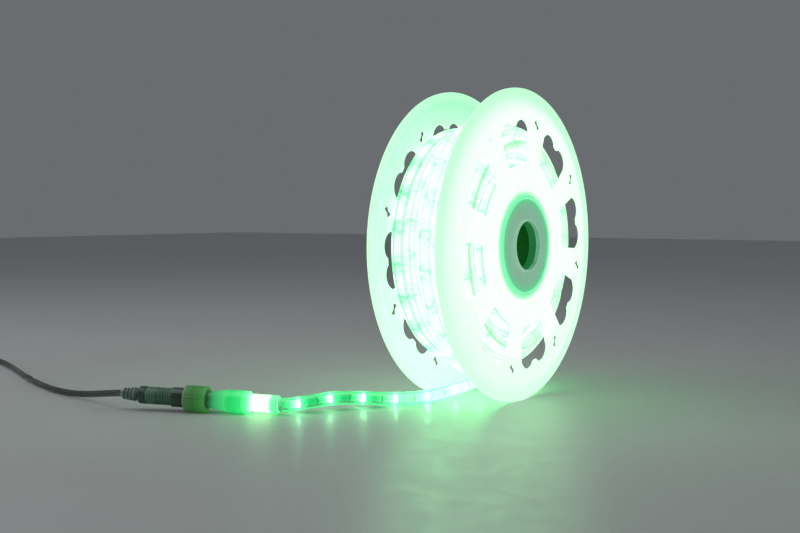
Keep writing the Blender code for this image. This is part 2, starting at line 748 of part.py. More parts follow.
def add_plug():
    """The moulded two-blade plug, lying flat on the floor beside the coil."""
    heading = Vector((PLUG_HEADING.x, PLUG_HEADING.y, 0.0))
    middle_height = PLUG_THICKNESS / 2 + FLOOR_GAP
    neck_start = PLUG_RUN_END + heading * SEAT_GAP
    neck_start.z = middle_height
    facing = Matrix.Rotation(math.atan2(heading.y, heading.x), 4, "Z")
    frame = Matrix.Translation(neck_start) @ facing
    body_middle = PLUG_NECK_LENGTH + PLUG_LENGTH / 2
    body_end = PLUG_NECK_LENGTH + PLUG_LENGTH

    def box(name, size, place, material):
        solid = bmesh.new()
        bmesh.ops.create_cube(solid, size=1.0)
        bmesh.ops.scale(solid, vec=size, verts=solid.verts)
        mesh = bpy.data.meshes.new(name)
        solid.to_mesh(mesh)
        solid.free()
        return add_object(name, mesh, material, frame @ Matrix.Translation(place))

    moulded = make_material("plug_moulded", (0.30, 0.36, 0.35), 0.35)
    body = box("power_plug", (PLUG_LENGTH, PLUG_WIDTH, PLUG_THICKNESS),
               (body_middle, 0.0, 0.0), moulded)
    bevel = body.modifiers.new("edges", "BEVEL")
    bevel.width = PLUG_EDGE
    bevel.segments = 2

    neck_profile = [
        (0.0, PLUG_NECK_LENGTH + PLUG_NECK_ROOT),
        (PLUG_NECK_RADIUS, PLUG_NECK_LENGTH + PLUG_NECK_ROOT),
        (PLUG_NECK_RADIUS, PLUG_NECK_TAPER),
        (LEAD_DIAMETER / 2 + PLUG_NECK_WALL, 0.0),
        (0.0, 0.0),
    ]
    along = frame @ Matrix.Rotation(math.pi / 2, 4, "Y")
    neck = turned("plug_neck", neck_profile, moulded, along, PLUG_NECK_STEPS)
    hide_as_cutter(neck)
    join = body.modifiers.new("neck", "BOOLEAN")
    join.operation = "UNION"
    join.solver = "EXACT"
    join.object = neck

    brass = make_material("blade_metal", (0.75, 0.72, 0.62), 0.3, 1.0)
    for side, name in ((-1, "plug_blade_left"), (1, "plug_blade_right")):
        place = (body_end + SEAT_GAP + BLADE_LENGTH / 2, side * BLADE_SPACING / 2, 0.0)
        box(name, (BLADE_LENGTH, BLADE_THICKNESS, BLADE_WIDTH), place, brass)


add_flanges()
add_core_tube()
add_winding()
add_tail()
add_connectors()
add_lead()
add_tie()
add_plug()
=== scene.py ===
"""Looks of the lit rope light: the rope wound on its clear reel, the loose end with its
connectors, and the power lead. Lengths are metres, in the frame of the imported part: the
reel's axle runs along X, the floor is Z = 0, and the loose end lies towards -X and -Y.
"""
import math

import bmesh
import bpy
import numpy as np
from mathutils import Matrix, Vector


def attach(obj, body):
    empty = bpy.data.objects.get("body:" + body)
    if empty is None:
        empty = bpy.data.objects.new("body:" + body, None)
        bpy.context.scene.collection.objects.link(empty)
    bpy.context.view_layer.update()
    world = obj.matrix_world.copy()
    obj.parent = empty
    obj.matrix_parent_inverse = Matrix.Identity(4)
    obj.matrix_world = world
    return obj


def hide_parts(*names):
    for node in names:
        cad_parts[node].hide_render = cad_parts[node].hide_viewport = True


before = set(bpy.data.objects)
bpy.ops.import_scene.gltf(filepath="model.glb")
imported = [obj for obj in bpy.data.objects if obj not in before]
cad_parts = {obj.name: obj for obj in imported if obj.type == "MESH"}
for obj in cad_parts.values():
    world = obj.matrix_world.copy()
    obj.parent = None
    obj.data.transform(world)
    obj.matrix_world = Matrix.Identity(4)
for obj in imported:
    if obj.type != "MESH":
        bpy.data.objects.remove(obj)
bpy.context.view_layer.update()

# Reel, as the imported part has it
AXLE_HEIGHT = 0.1550 * math.cos(math.pi / 64)
INNER_FACE = 0.04059
WEB = 0.0014
FLANGE_RADIUS = 0.1550
RIM_INNER = 0.1460
RIM_PROUD = 0.0009
WEB_END = RIM_INNER - RIM_PROUD
PATCH_TOP = 0.1330
DISH = 0.00414
HUB_SEAT = 0.0476
HUB_RADIUS = 0.0492
HUB_FACE = 0.00316
HUB_RING_TOP = 0.00376
HUB_RING_INNER = 0.0470
HUB_UNDERSIDE = 0.00096
HUB_STEP = 0.0004
HUB_STEP_RADIUS = 0.0408
BORE = 0.0243
COLLAR = 0.0260
COLLAR_TOP = 0.00536
COLLAR_FOOT = -0.00704
SECTORS = 8
SECTOR = math.tau / SECTORS
NEAR_SLOT_CLOCK = math.radians(11.4)
FAR_SLOT_CLOCK = math.radians(15.9)
WINDOW_HALF = 14.0
WINDOW_FOOT = 0.0805
FOOT_STRAIGHT = 9.8
WINDOW_CORNER = 0.0865
LOBE_CENTRE = 0.1090
LOBE_RADIUS = 0.0150
LOBE_ANGLE = 7.0
TONGUE = 0.1184
TONGUE_HALF = 1.134
TONGUE_FOOT = 2.71
SLOT_CENTRE = 0.1225
SLOT_SHAPE = ((0.0054, 0.0039), (0.0, 0.0022), (-0.0054, 0.0039),
              (-0.0054, -0.0039), (0.0, -0.0022), (0.0054, -0.0039))
EDGE_WIDTH = 0.00035
EDGE_ANGLE = 60.0
CORE_OUTER = 0.0473
CORE_INNER = 0.0410

# Rope and its winding
ROPE = 0.0130
LAYERS = 6
TURNS = 5
FIRST_LAYER = 0.0541
LAYER_PITCH = 0.0116
TURN_PITCH = 0.01484
LIGHT_PITCH = 0.0333
CROSSING = 0.12
LAP_FIFTHS = 5
STEPS_A_TURN = 72
ROPE_CLEARANCE = 0.00005
CHANNEL = 0.0021
WIRE_RADIUS = 0.0007
WIRE_PLACE = 0.0041
CHIP_LENGTH, CHIP_RADIUS = 0.0058, 0.0023
PART_LENGTH, PART_RADIUS = 0.0040, 0.00235
PART_AFTER_CHIP = 0.42
LAST_CHIP_MARGIN = 0.004
ROPE_STEP = 0.003
START_CLOCK = math.radians(127.0)
LAP_LEAVES = math.radians(132.0)
LAP_LANDS = math.radians(235.0)

# Loose end of the rope, from the winding to its sleeve
TAIL_ROUTE = [
    (0.0042, 0.0623, 0.0480), (0.0020, 0.0300, 0.0312), (-0.0080, -0.0067, 0.0170),
    (-0.0180, -0.0440, 0.0106), (-0.0305, -0.0735, 0.0070), (-0.0475, -0.0985, 0.0072),
    (-0.0628, -0.1214, 0.0096), (-0.0800, -0.1480, 0.0118), (-0.0955, -0.1760, 0.0100),
]
CHAIN_START = np.array([-0.1099, -0.1945, 0.009572])
CHAIN = np.array([-0.91006, -0.41282, 0.03686])
CHAIN /= np.linalg.norm(CHAIN)
TAIL_RUN_IN = 0.0090
RING_PITCH = 0.0026
TAPER_RING_PITCH = 0.0024
TAPER_RING_DEPTH = 0.00050
NUT_RING_DEPTH = 0.00090
NUT_ROW_DEPTH = 0.00008
NUT_ROWS = 22
LIGHT_FROM_END = 0.0175

# Power lead: along the floor, round the coil, to the plug
LEAD = 0.0066
LEAD_CORE = 0.00175
LEAD_CORE_PLACE = 0.00155
STRAND_RADIUS = 0.00095
TWIST_AT = 0.205
TWIST_OVER = 0.03
LEAD_EXIT = 0.1545
LEAD_RUN_OUT = 0.0060
LEAD_ROUTE = [
    (-0.2700, -0.2568, 0.0133), (-0.2880, -0.2530, 0.0106), (-0.3060, -0.2493, 0.0080),
    (-0.3250, -0.2455, 0.0056), (-0.3520, -0.2425, 0.0039), (-0.3860, -0.2355, 0.0035),
    (-0.4380, -0.2175, 0.0035), (-0.4850, -0.1970, 0.0035), (-0.5277, -0.1768, 0.0035),
    (-0.5700, -0.1575, 0.0035), (-0.6120, -0.1413, 0.0035), (-0.6390, -0.1376, 0.0040),
    (-0.6604, -0.1430, 0.0044),
]
COIL_CENTRE = np.array([-0.672, -0.190])
COIL_RINGS = [(0.0426, 0.0044), (0.0360, 0.0044), (0.0294, 0.0044),
              (0.0327, 0.0101), (0.0393, 0.0101)]
COIL_START = math.radians(105.0)
COIL_END_TURN = 4.36
COIL_CROSSING = 0.20
COIL_STEPS_A_TURN = 60
TIE_GAP = 0.0006
TIE_THICKNESS = 0.0008
TIE_WIDTH = 0.0070
TIE_CLOCK = math.radians(-20.0)
PLUG_RUN = [(-0.6680, -0.2371, 0.0087), (-0.6550, -0.2443, 0.0080),
            (-0.6420, -0.2515, 0.0073)]
PLUG_HEADING = np.array([0.87505, -0.48403, 0.0])
PLUG_MIDDLE = 0.0270
PLUG_SIZE = (0.0260, 0.0240, 0.0140)
BLADE_MIDDLE = 0.04855
BLADE_SIZE = (0.0165, 0.0015, 0.0063)
BLADE_OFF_CENTRE = 0.00635

# Floor and camera
FLOOR_HALF = 6.0
LENS = 48.27
CAMERA_PLACE = (0.5447, -0.9435, 0.1894)
CAMERA_TURN = (math.radians(90.0 - 2.98), 0.0, math.radians(34.70))

# How bright the lit plastics are; display colours below are divided by it
GLOW = 4.0
# Radius and width of the reel that a colour ramp's 0 to 1 covers
RAMP_RADIUS = 0.16
RAMP_WIDTH = 0.08
# Painted light: the web past this radius glows paler low on the reel, by this share at most
PALER_FROM = 0.112
PALER_SHARE = 0.62
# Noise of the rope's small parts round it and along it; the wires' creep along and round
PARTS_ROUND = 5.0
PARTS_ALONG = 260.0
CREEP_ALONG = 3.1
CREEP_ROUND = 0.05
UP = np.array([0.0, 0.0, 1.0])
MERGE_DISTANCE = 0.000004


# Meshes
def grid_quads(rows, columns, start):
    """Corner numbers of the quads between neighbouring rows and columns of a grid."""
    corner = np.arange(rows * columns).reshape(rows, columns)[:-1, :-1] + start
    quads = np.stack([corner, corner + 1, corner + columns + 1, corner + columns], -1)
    return quads.reshape(-1, 4)


def surface(name, grids, material, body="rope_light", sharp=40.0):
    """Join grids of points into one closed mesh on a body.

    A grid is (points, uv), of rows x columns x 3 and rows x columns x 2. Neighbouring grids
    share their border points, which are merged, and so are the poles and the seams.
    """
    quads = []
    start = 0
    for points, _ in grids:
        rows, columns = points.shape[:2]
        quads.append(grid_quads(rows, columns, start))
        start += rows * columns
    quads = np.concatenate(quads)
    points = np.concatenate([points.reshape(-1, 3) for points, _ in grids])
    uvs = np.concatenate([uv.reshape(-1, 2) for _, uv in grids])
    mesh = bpy.data.meshes.new(name)
    mesh.vertices.add(len(points))
    mesh.vertices.foreach_set("co", points.astype(np.float32).ravel())
    mesh.loops.add(quads.size)
    mesh.loops.foreach_set("vertex_index", quads.astype(np.int32).ravel())
    mesh.polygons.add(len(quads))
    mesh.polygons.foreach_set("loop_start", np.arange(0, quads.size, 4, dtype=np.int32))
    layer = mesh.uv_layers.new(name="round_along")
    layer.data.foreach_set("uv", uvs[quads.ravel()].astype(np.float32).ravel())
    mesh.update(calc_edges=True)
    solid = bmesh.new()
    solid.from_mesh(mesh)
    bmesh.ops.remove_doubles(solid, verts=solid.verts, dist=MERGE_DISTANCE)
    bmesh.ops.recalc_face_normals(solid, faces=solid.faces)
    solid.to_mesh(mesh)
    solid.free()
    mesh.shade_smooth()
    mesh.set_sharp_from_angle(angle=math.radians(sharp))
    mesh.materials.append(material)
    piece = bpy.data.objects.new(name, mesh)
    bpy.context.scene.collection.objects.link(piece)
    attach(piece, body)
    return piece


def rounded(profile, radius, steps=3):
    """The profile with each inner corner replaced by a short curve.

    The curve runs from a point before the corner to one after it, as a parabola whose
    control point is the corner; neither point is further than 0.45 of its side away.
    """
    profile = np.array(profile, float)
    before, corner, after = profile[:-2], profile[1:-1], profile[2:]
    back, ahead = before - corner, after - corner
    back_length = np.linalg.norm(back, axis=1, keepdims=True)
    ahead_length = np.linalg.norm(ahead, axis=1, keepdims=True)
    start = corner + back / back_length * np.minimum(radius, back_length * 0.45)
    end = corner + ahead / ahead_length * np.minimum(radius, ahead_length * 0.45)
    t = np.linspace(0.0, 1.0, steps + 1)[None, :, None]
    curve = (start[:, None] * (1 - t) ** 2 + corner[:, None] * 2 * t * (1 - t)
             + end[:, None] * t ** 2)
    return np.concatenate([profile[:1], curve.reshape(-1, 2), profile[-1:]])


def turned(profile, start, axis, steps=64, swell=None):
    """A grid turned about an axis from a profile of (distance along, radius).

    point = start + distance * axis + radius * (cos turn * side + sin turn * up). swell
    gives a change of radius for every distance (column) and turn (row), such as ribs.
    """
    profile = np.array(profile, float)
    axis = unit(axis)
    side = unit(np.cross(axis, UP))
    up = np.cross(side, axis)
    turn = np.linspace(0.0, math.tau, steps + 1)
    ring = np.cos(turn)[:, None] * side + np.sin(turn)[:, None] * up
    distance, radius = profile[:, 0, None], profile[:, 1, None] + 0 * turn
    if swell is not None:
        radius = radius + swell(distance, turn) * (radius > 0)
    points = start + distance[..., None] * axis + radius[..., None] * ring
    uv = np.stack(np.broadcast_arrays(turn / math.tau, distance), -1)
    return points, uv


def eased(t):
    """t from 0 to 1 with a soft start and stop: 3t^2 - 2t^3."""
    return t * t * (3 - 2 * t)


def unit(vectors):
    """The vectors at length 1."""
    return vectors / np.linalg.norm(vectors, axis=-1, keepdims=True)


def path_lengths(path):
    """Length along the path to each of its points."""
    steps = np.linalg.norm(np.diff(path, axis=0), axis=1)
    return np.concatenate([[0.0], np.cumsum(steps)])


def points_at(path, lengths):
    """The points of the path at these lengths along it."""
    along = path_lengths(path)
    return np.stack([np.interp(lengths, along, path[:, i]) for i in range(3)], -1)


def smooth_route(points, spacing):
    """Evenly spaced points on the Catmull-Rom curve through the route's points."""
    points = np.array(points, float)
    ends = np.concatenate([[2 * points[0] - points[1]], points,
                           [2 * points[-1] - points[-2]]])
    before, start, end, after = ends[:-3], ends[1:-2], ends[2:-1], ends[3:]
    t = (np.arange(24) / 24)[None, :, None]
    curve = 0.5 * (2 * start[:, None] + (end - before)[:, None] * t
                   + (2 * before - 5 * start + 4 * end - after)[:, None] * t ** 2
                   + (3 * start - before - 3 * end + after)[:, None] * t ** 3)
    dense = np.concatenate([curve.reshape(-1, 3), points[-1:]])
    return evenly(dense, spacing)


def evenly(path, spacing):
    """The path again, with its points the same distance apart."""
    length = path_lengths(path)[-1]
    count = max(2, round(length / spacing))
    return points_at(path, np.linspace(0.0, length, count + 1))


def swept(path, section, upright=UP, turn=None):
    """A grid that carries a closed section of (across, over) offsets along a path.

    across is square to the path and to upright, over is square to both, and turn is an
    angle for each point of the path by which the section is turned about it.
    """
    forward = unit(np.gradient(path, axis=0))
    across = unit(np.cross(forward, np.broadcast_to(upright, path.shape)))
    over = np.cross(across, forward)
    section = np.array(section, float)
    a, b = section[:, 0], section[:, 1]
    if turn is not None:
        cos, sin = np.cos(turn)[:, None], np.sin(turn)[:, None]
        a, b = a * cos - b * sin, a * sin + b * cos
    a, b = np.broadcast_to(a, (len(path), len(section))), np.broadcast_to(
        b, (len(path), len(section)))
    points = path[:, None] + a[..., None] * across[:, None] + b[..., None] * over[:, None]
    length = path_lengths(path)
    first = np.repeat(path[:1, None], len(section), 1)
    last = np.repeat(path[-1:, None], len(section), 1)
    points = np.concatenate([first, points, last])
    length = np.concatenate([length[:1], length, length[-1:]])
    round_it = np.linspace(0.0, 1.0, len(section))
    uv = np.stack(np.broadcast_arrays(round_it, length[:, None]), -1)
    return points, uv


def circle(radius, steps, over=0.0):
    """A closed round section about (0, over), its first point again at the end."""
    turn = np.linspace(0.0, math.tau, steps + 1)
    return np.stack([radius * np.cos(turn), over + radius * np.sin(turn)], -1)


def capsules(places, headings, length, radius):
    """One grid for each short round-ended body, centred on a place along a heading."""
    bend = np.linspace(0.0, math.pi / 2, 5)
    back = np.stack([-length / 2 + radius * (1 - np.cos(bend)), radius * np.sin(bend)], -1)
    front = np.stack([length / 2 - radius * (1 - np.cos(bend[::-1])),
                      radius * np.sin(bend[::-1])], -1)
    profile = np.concatenate([back, front])
    return [turned(profile, place, heading, 12)
            for place, heading in zip(places, headings)]


# Materials
def add_node(tree, kind, values=None, **settings):
    """Add a node. settings are its own properties; values fill its inputs by name or
    number, with a number, a colour or another node's output."""
    node = tree.nodes.new(kind)
    for key, value in settings.items():
        setattr(node, key, value)
    for key, value in (values or {}).items():
        if isinstance(value, bpy.types.NodeSocket):
            tree.links.new(value, node.inputs[key])
        else:
            node.inputs[key].default_value = value
    return node


def maths(tree, operation, *values):
    """The result of one Math node."""
    node = add_node(tree, "ShaderNodeMath", dict(enumerate(values)), operation=operation)
    return node.outputs[0]


def scaled(tree, value, low, high, first, last):
    """first at the value low, last at the value high, and held beyond them."""
    return add_node(tree, "ShaderNodeMapRange",
                    {0: value, 1: low, 2: high, 3: first, 4: last}).outputs[0]


def feed(shader, **colours):
    """Link colours into the shader's sockets, named with _ for a space."""
    for label, colour in colours.items():
        shader.id_data.links.new(colour, shader.inputs[label.replace("_", " ")])


def ramp(tree, value, stops):
    """A colour read from stops of (position, colour) at that value."""
    node = add_node(tree, "ShaderNodeValToRGB", {0: value})
    band = node.color_ramp
    while len(band.elements) < len(stops):
        band.elements.new(0.5)
    for element, (position, _) in zip(band.elements, stops):
        element.position = position
    for element, (position, colour) in zip(band.elements, stops):
        element.position = position
        element.color = (*colour[:3], 1.0)
    return node.outputs[0]


def mixed(tree, factor, first, second, blend="MIX"):
    """A Mix node for colours."""
    node = tree.nodes.new("ShaderNodeMix")
    node.data_type = "RGBA"
    node.blend_type = blend
    for socket, value in ((node.inputs[0], factor), (node.inputs[6], first),
                          (node.inputs[7], second)):
        if isinstance(value, bpy.types.NodeSocket):
            tree.links.new(value, socket)
        elif isinstance(value, tuple):
            socket.default_value = (*value[:3], 1.0)
        else:
            socket.default_value = value
    return node.outputs[2]


def linear(level):
    """Scene light for a display level of 0 to 255."""
    share = level / 255.0
    return share / 12.92 if share <= 0.04045 else ((share + 0.055) / 1.055) ** 2.4


def paint(red, green, blue):
    """A surface colour from display levels."""
    return (linear(red), linear(green), linear(blue))


def lit(red, green, blue, spill=1.0):
    """An emission colour that shows these display levels at the GLOW strength.

    spill raises green past what the display can show, so that the floor turns green.
    """
    return (linear(red) / GLOW, min(1.0, linear(green) * spill / GLOW), linear(blue) / GLOW)


def new_group(name, inputs, outputs):
    """An empty shader node group with float inputs and float outputs of these names."""
    group = bpy.data.node_groups.new(name, "ShaderNodeTree")
    for label, value in inputs.items():
        socket = group.interface.new_socket(label, in_out="INPUT",
                                            socket_type="NodeSocketFloat")
        socket.default_value = value
    for label in outputs:
        group.interface.new_socket(label, in_out="OUTPUT", socket_type="NodeSocketFloat")
    return group, group.nodes.new("NodeGroupInput"), group.nodes.new("NodeGroupOutput")


def put_out(group, result, **values):
    """Link values to the group's outputs of the same names."""
    for label, value in values.items():
        group.links.new(value, result.inputs[label])
    return group


def make_moulding_group():
    """Soft flow marks and hairline scuffs of moulded plastic: roughness, height, tint."""
    group, given, result = new_group(
        "moulding_marks",
        {"Scale": 60.0, "Low": 0.25, "High": 0.40},
        ("Roughness", "Height", "Tint"))
    coordinates = add_node(group, "ShaderNodeTexCoord").outputs["Object"]
    flow = add_node(group, "ShaderNodeTexNoise",
                    {"Vector": coordinates, "Scale": given.outputs["Scale"],
                     "Detail": 4.0, "Roughness": 0.6}).outputs[0]
    fine_scale = maths(group, "MULTIPLY", given.outputs["Scale"], 9.0)
    fine = add_node(group, "ShaderNodeTexNoise",
                    {"Vector": coordinates, "Scale": fine_scale,
                     "Detail": 2.0, "Distortion": 1.5}).outputs[0]
    roughness = scaled(group, fine, 0.35, 0.65, given.outputs["Low"], given.outputs["High"])
    height = maths(group, "MULTIPLY_ADD", fine, 0.35, flow)
    return put_out(group, result, Roughness=roughness, Height=height, Tint=flow)


def make_axle_group():
    """Distance from the reel's axle line, height over it and the place along it."""
    group, _, result = new_group(
        "round_the_axle", {}, ("Radius", "Height", "Side"))
    coordinates = add_node(group, "ShaderNodeTexCoord").outputs["Object"]
    parts = add_node(group, "ShaderNodeSeparateXYZ", {0: coordinates}).outputs
    height = maths(group, "SUBTRACT", parts[2], AXLE_HEIGHT)
    square = maths(group, "MULTIPLY", parts[1], parts[1])
    square = maths(group, "ADD", square, maths(group, "MULTIPLY", height, height))
    return put_out(group, result, Radius=maths(group, "SQRT", square), Height=height,
                   Side=parts[0])


def make_lights_group():
    """Marks along a rope from its own UV: light chips at one pitch, the small parts between
    them, and two wires whose place creeps round the rope along its length."""
    group, given, result = new_group(
        "lights_along_rope",
        {"Offset": 0.0},
        ("Near", "Parts", "Wires", "Along", "Round"))
    uv = add_node(group, "ShaderNodeUVMap", uv_map="round_along").outputs[0]
    parts = add_node(group, "ShaderNodeSeparateXYZ", {0: uv}).outputs
    along = maths(group, "DIVIDE", maths(group, "SUBTRACT", parts[1],
                                         given.outputs["Offset"]), LIGHT_PITCH)
    fraction = maths(group, "SUBTRACT", along, maths(group, "ROUND", along))
    near = maths(group, "ABSOLUTE", fraction)
    vector = add_node(group, "ShaderNodeCombineXYZ",
                      {0: maths(group, "MULTIPLY", parts[0], PARTS_ROUND),
                       1: maths(group, "MULTIPLY", parts[1], PARTS_ALONG), 2: 0.0}).outputs[0]
    blotch = add_node(group, "ShaderNodeTexNoise",
                      {"Vector": vector, "Scale": 1.0, "Detail": 2.0}).outputs[0]
    swing = maths(group, "SINE", maths(group, "MULTIPLY", parts[1], CREEP_ALONG))
    creep = maths(group, "MULTIPLY", swing, CREEP_ROUND)
    turn = maths(group, "ADD", parts[0], creep)
    wires = maths(group, "ABSOLUTE", maths(group, "SINE", maths(group, "MULTIPLY", turn,
                                                                math.tau * 2)))
    return put_out(group, result, Near=near, Parts=blotch, Wires=wires, Along=parts[1],
                   Round=parts[0])


moulding_marks = make_moulding_group()
round_the_axle = make_axle_group()
lights_along_rope = make_lights_group()


def placed(tree, group, values=None):
    """A group node in a material."""
    node = tree.nodes.new("ShaderNodeGroup")
    node.node_tree = group
    for key, value in (values or {}).items():
        node.inputs[key].default_value = value
    return node.outputs


def finish_material(name, scale=60.0, low=0.25, high=0.40, bump=0.0001, **fixed):
    """A Principled material whose roughness and bump come from the moulding marks.

    fixed holds plain values of the shader's own sockets. Returns the material, its node
    tree, its shader and the tint that varies over the surface.
    """
    material = bpy.data.materials.new(name)
    material.use_nodes = True
    tree = material.node_tree
    shader = tree.nodes["Principled BSDF"]
    for label, value in fixed.items():
        shader.inputs[label.replace("_", " ")].default_value = value
    marks = placed(tree, moulding_marks, {"Scale": scale, "Low": low, "High": high})
    tree.links.new(marks["Roughness"], shader.inputs["Roughness"])
    bumped = add_node(tree, "ShaderNodeBump", {"Height": marks["Height"], "Distance": bump,
                                               "Strength": 1.0})
    tree.links.new(bumped.outputs[0], shader.inputs["Normal"])
    return material, tree, shader, marks["Tint"]


def reel_plastic():
    """Clear reel plastic that carries the rope's light: white over the winding, mint at the
    rim and on the inner faces, green in a ring round the boss and nearly unlit inside it."""
    material, tree, shader, tint = finish_material(
        "reel_plastic", scale=45.0, low=0.22, high=0.42, bump=0.00012,
        Emission_Strength=GLOW, IOR=1.49, Coat_Weight=0.25, Coat_Roughness=0.12)
    axle = placed(tree, round_the_axle)
    wander = maths(tree, "MULTIPLY_ADD", tint, 0.0016, -0.0008)
    radius = maths(tree, "DIVIDE", maths(tree, "ADD", axle["Radius"], wander),
                   RAMP_RADIUS)
    # Painted glow by radius, with thin painted highlight lines at the bore's lip and at the
    # boss's ring
    outside = ramp(tree, radius, [
        (0.150, lit(26, 128, 84)), (0.156, lit(150, 196, 168)), (0.163, lit(124, 170, 144)),
        (0.235, lit(116, 172, 140)), (0.262, lit(104, 182, 136)), (0.278, lit(86, 200, 134)),
        (0.288, lit(104, 228, 156)), (0.295, lit(170, 255, 206)), (0.302, lit(104, 230, 158)),
        (0.312, lit(134, 242, 180)), (0.345, lit(250, 255, 252, 2.2)),
        (0.82, lit(250, 255, 252, 2.2)), (0.875, lit(226, 255, 238, 1.6)),
        (0.910, lit(196, 250, 214, 1.1)), (0.935, lit(196, 252, 214, 1.1)),
        (0.972, lit(188, 252, 208, 1.0))])
    inside = ramp(tree, radius, [
        (0.150, lit(6, 92, 38)), (0.30, lit(8, 96, 42)), (0.31, lit(90, 230, 150)),
        (0.70, lit(236, 255, 242, 1.8)), (0.76, lit(190, 252, 208, 1.0)),
        (0.86, lit(160, 246, 186)), (0.908, lit(152, 243, 180)),
        (0.925, lit(176, 250, 196)), (0.972, lit(184, 252, 202))])
    off_middle = maths(tree, "ABSOLUTE", axle["Side"])
    in_hub = maths(tree, "LESS_THAN", axle["Radius"], HUB_SEAT + 0.0004)
    limit = maths(tree, "MULTIPLY_ADD", in_hub, HUB_UNDERSIDE - 0.0006,
                  INNER_FACE + WEB / 2)
    dished = scaled(tree, axle["Radius"], PATCH_TOP, WEB_END, 0.0, DISH)
    limit = maths(tree, "SUBTRACT", limit, dished)
    facing_in = maths(tree, "LESS_THAN", off_middle, limit)
    glow = mixed(tree, facing_in, outside, inside)
    soft = maths(tree, "MULTIPLY_ADD", tint, 0.10, 0.93)
    # Painted light: a paler glow low on the reel, past PALER_FROM
    low_down = scaled(tree, axle["Height"], -0.10, 0.14, 1.0, 0.0)
    beyond = maths(tree, "GREATER_THAN", axle["Radius"], PALER_FROM)
    paler = maths(tree, "MULTIPLY", maths(tree, "MULTIPLY", low_down, beyond), PALER_SHARE)
    glow = mixed(tree, paler, glow, lit(226, 255, 236, 1.3))
    glow = mixed(tree, 1.0, glow, add_node(tree, "ShaderNodeCombineColor",
                                           {0: soft, 1: soft, 2: soft}).outputs[0],
                 "MULTIPLY")
    feed(shader, Emission_Color=glow)
    skin = ramp(tree, radius, [(0.15, paint(110, 134, 120)), (0.25, paint(132, 150, 140)),
                               (0.30, paint(70, 150, 100)), (0.40, paint(120, 150, 132)),
                               (0.90, paint(120, 168, 138))])
    feed(shader, Base_Color=skin)
    return material


def core_plastic():
    """The winding tube's plastic, lit only at its outside."""
    material, tree, shader, tint = finish_material(
        "core_plastic", scale=80.0, low=0.35, high=0.5, Emission_Strength=GLOW)
    colour = ramp(tree, tint, [(0.3, paint(12, 40, 20)), (0.7, paint(20, 54, 30))])
    feed(shader, Base_Color=colour)
    axle = placed(tree, round_the_axle)
    radius = maths(tree, "DIVIDE", axle["Radius"], RAMP_RADIUS)
    glow = ramp(tree, radius, [(0.255, lit(4, 56, 3)), (0.275, lit(5, 60, 4)),
                               (0.29, lit(80, 220, 130))])
    feed(shader, Emission_Color=glow)
    return material


def wound_rope_skin():
    """Lit rope in the winding: white-hot, with green lines over the wires and painted shade
    as green lines where turns meet, darker stretches with small parts between the light
    chips."""
    material, tree, shader, _ = finish_material(
        "wound_rope_skin", scale=120.0, low=0.10, high=0.2, bump=0.00005,
        Emission_Strength=GLOW, Coat_Weight=0.6, Coat_Roughness=0.06)
    marks = placed(tree, lights_along_rope)
    between = scaled(tree, marks["Near"], 0.12, 0.46, 0.0, 1.0)
    side = placed(tree, round_the_axle)["Side"]
    # Painted shade by place along the axle: the darker stretches between chips are deeper by
    # the far flange
    by_far_flange = scaled(tree, side, -0.036, -0.024, 1.0, 0.0)
    least = maths(tree, "MULTIPLY_ADD", by_far_flange, 0.35, 0.25)
    spotty = scaled(tree, marks["Parts"], 0.48, 0.60, least, 1.0)
    shown = maths(tree, "MULTIPLY_ADD", by_far_flange, 0.60, 0.40)
    dim = maths(tree, "MULTIPLY", maths(tree, "MULTIPLY", between, spotty), shown)
    body = ramp(tree, dim, [(0.0, lit(246, 255, 250, 2.0)), (0.16, lit(226, 255, 239, 1.5)),
                            (0.55, lit(160, 250, 198, 1.1)), (1.0, lit(48, 214, 126, 1.0))])
    wires = scaled(tree, marks["Wires"], 0.10, 0.26, 1.0, 0.0)
    dashes = scaled(tree, marks["Parts"], 0.36, 0.50, 0.50, 0.9)
    # Painted shade: green lines along each turn where it meets its neighbours
    outward = maths(tree, "ABSOLUTE", maths(tree, "SUBTRACT", marks["Round"], 0.25))
    painted_shade_where_turns_meet = ramp(tree, maths(tree, "MULTIPLY", outward, 4.0),
                [(0.60, (0.0,) * 3), (0.72, (0.9,) * 3), (0.84, (0.0,) * 3),
                 (0.95, (0.25,) * 3)])
    lines = maths(tree, "MAXIMUM", maths(tree, "MULTIPLY", wires, dashes), painted_shade_where_turns_meet)
    # Painted shade by place along the axle: the green lines are strongest by the far flange,
    # faint in the middle and stronger again by the near flange
    place = maths(tree, "DIVIDE", side, RAMP_WIDTH)
    plain = ramp(tree, maths(tree, "ADD", place, 0.5),
                 [(0.06, (1.0,) * 3), (0.14, (0.85,) * 3), (0.24, (0.42,) * 3),
                  (0.60, (0.36,) * 3), (0.86, (0.46,) * 3), (0.95, (0.75,) * 3)])
    lines = maths(tree, "MULTIPLY", lines, plain)
    glow = mixed(tree, lines, body, lit(20, 222, 112, 1.0))
    feed(shader, Emission_Color=glow)
    shader.inputs["Base Color"].default_value = (*paint(96, 190, 128), 1.0)
    return material


def nearer_reel(tree, marks):
    """1 where the loose rope leaves the winding, falling to 0 a hand's width out; it mixes
    painted light from the reel into the rope's glow.
    """
    return scaled(tree, marks["Along"], 0.11, 0.20, 1.0, 0.0)


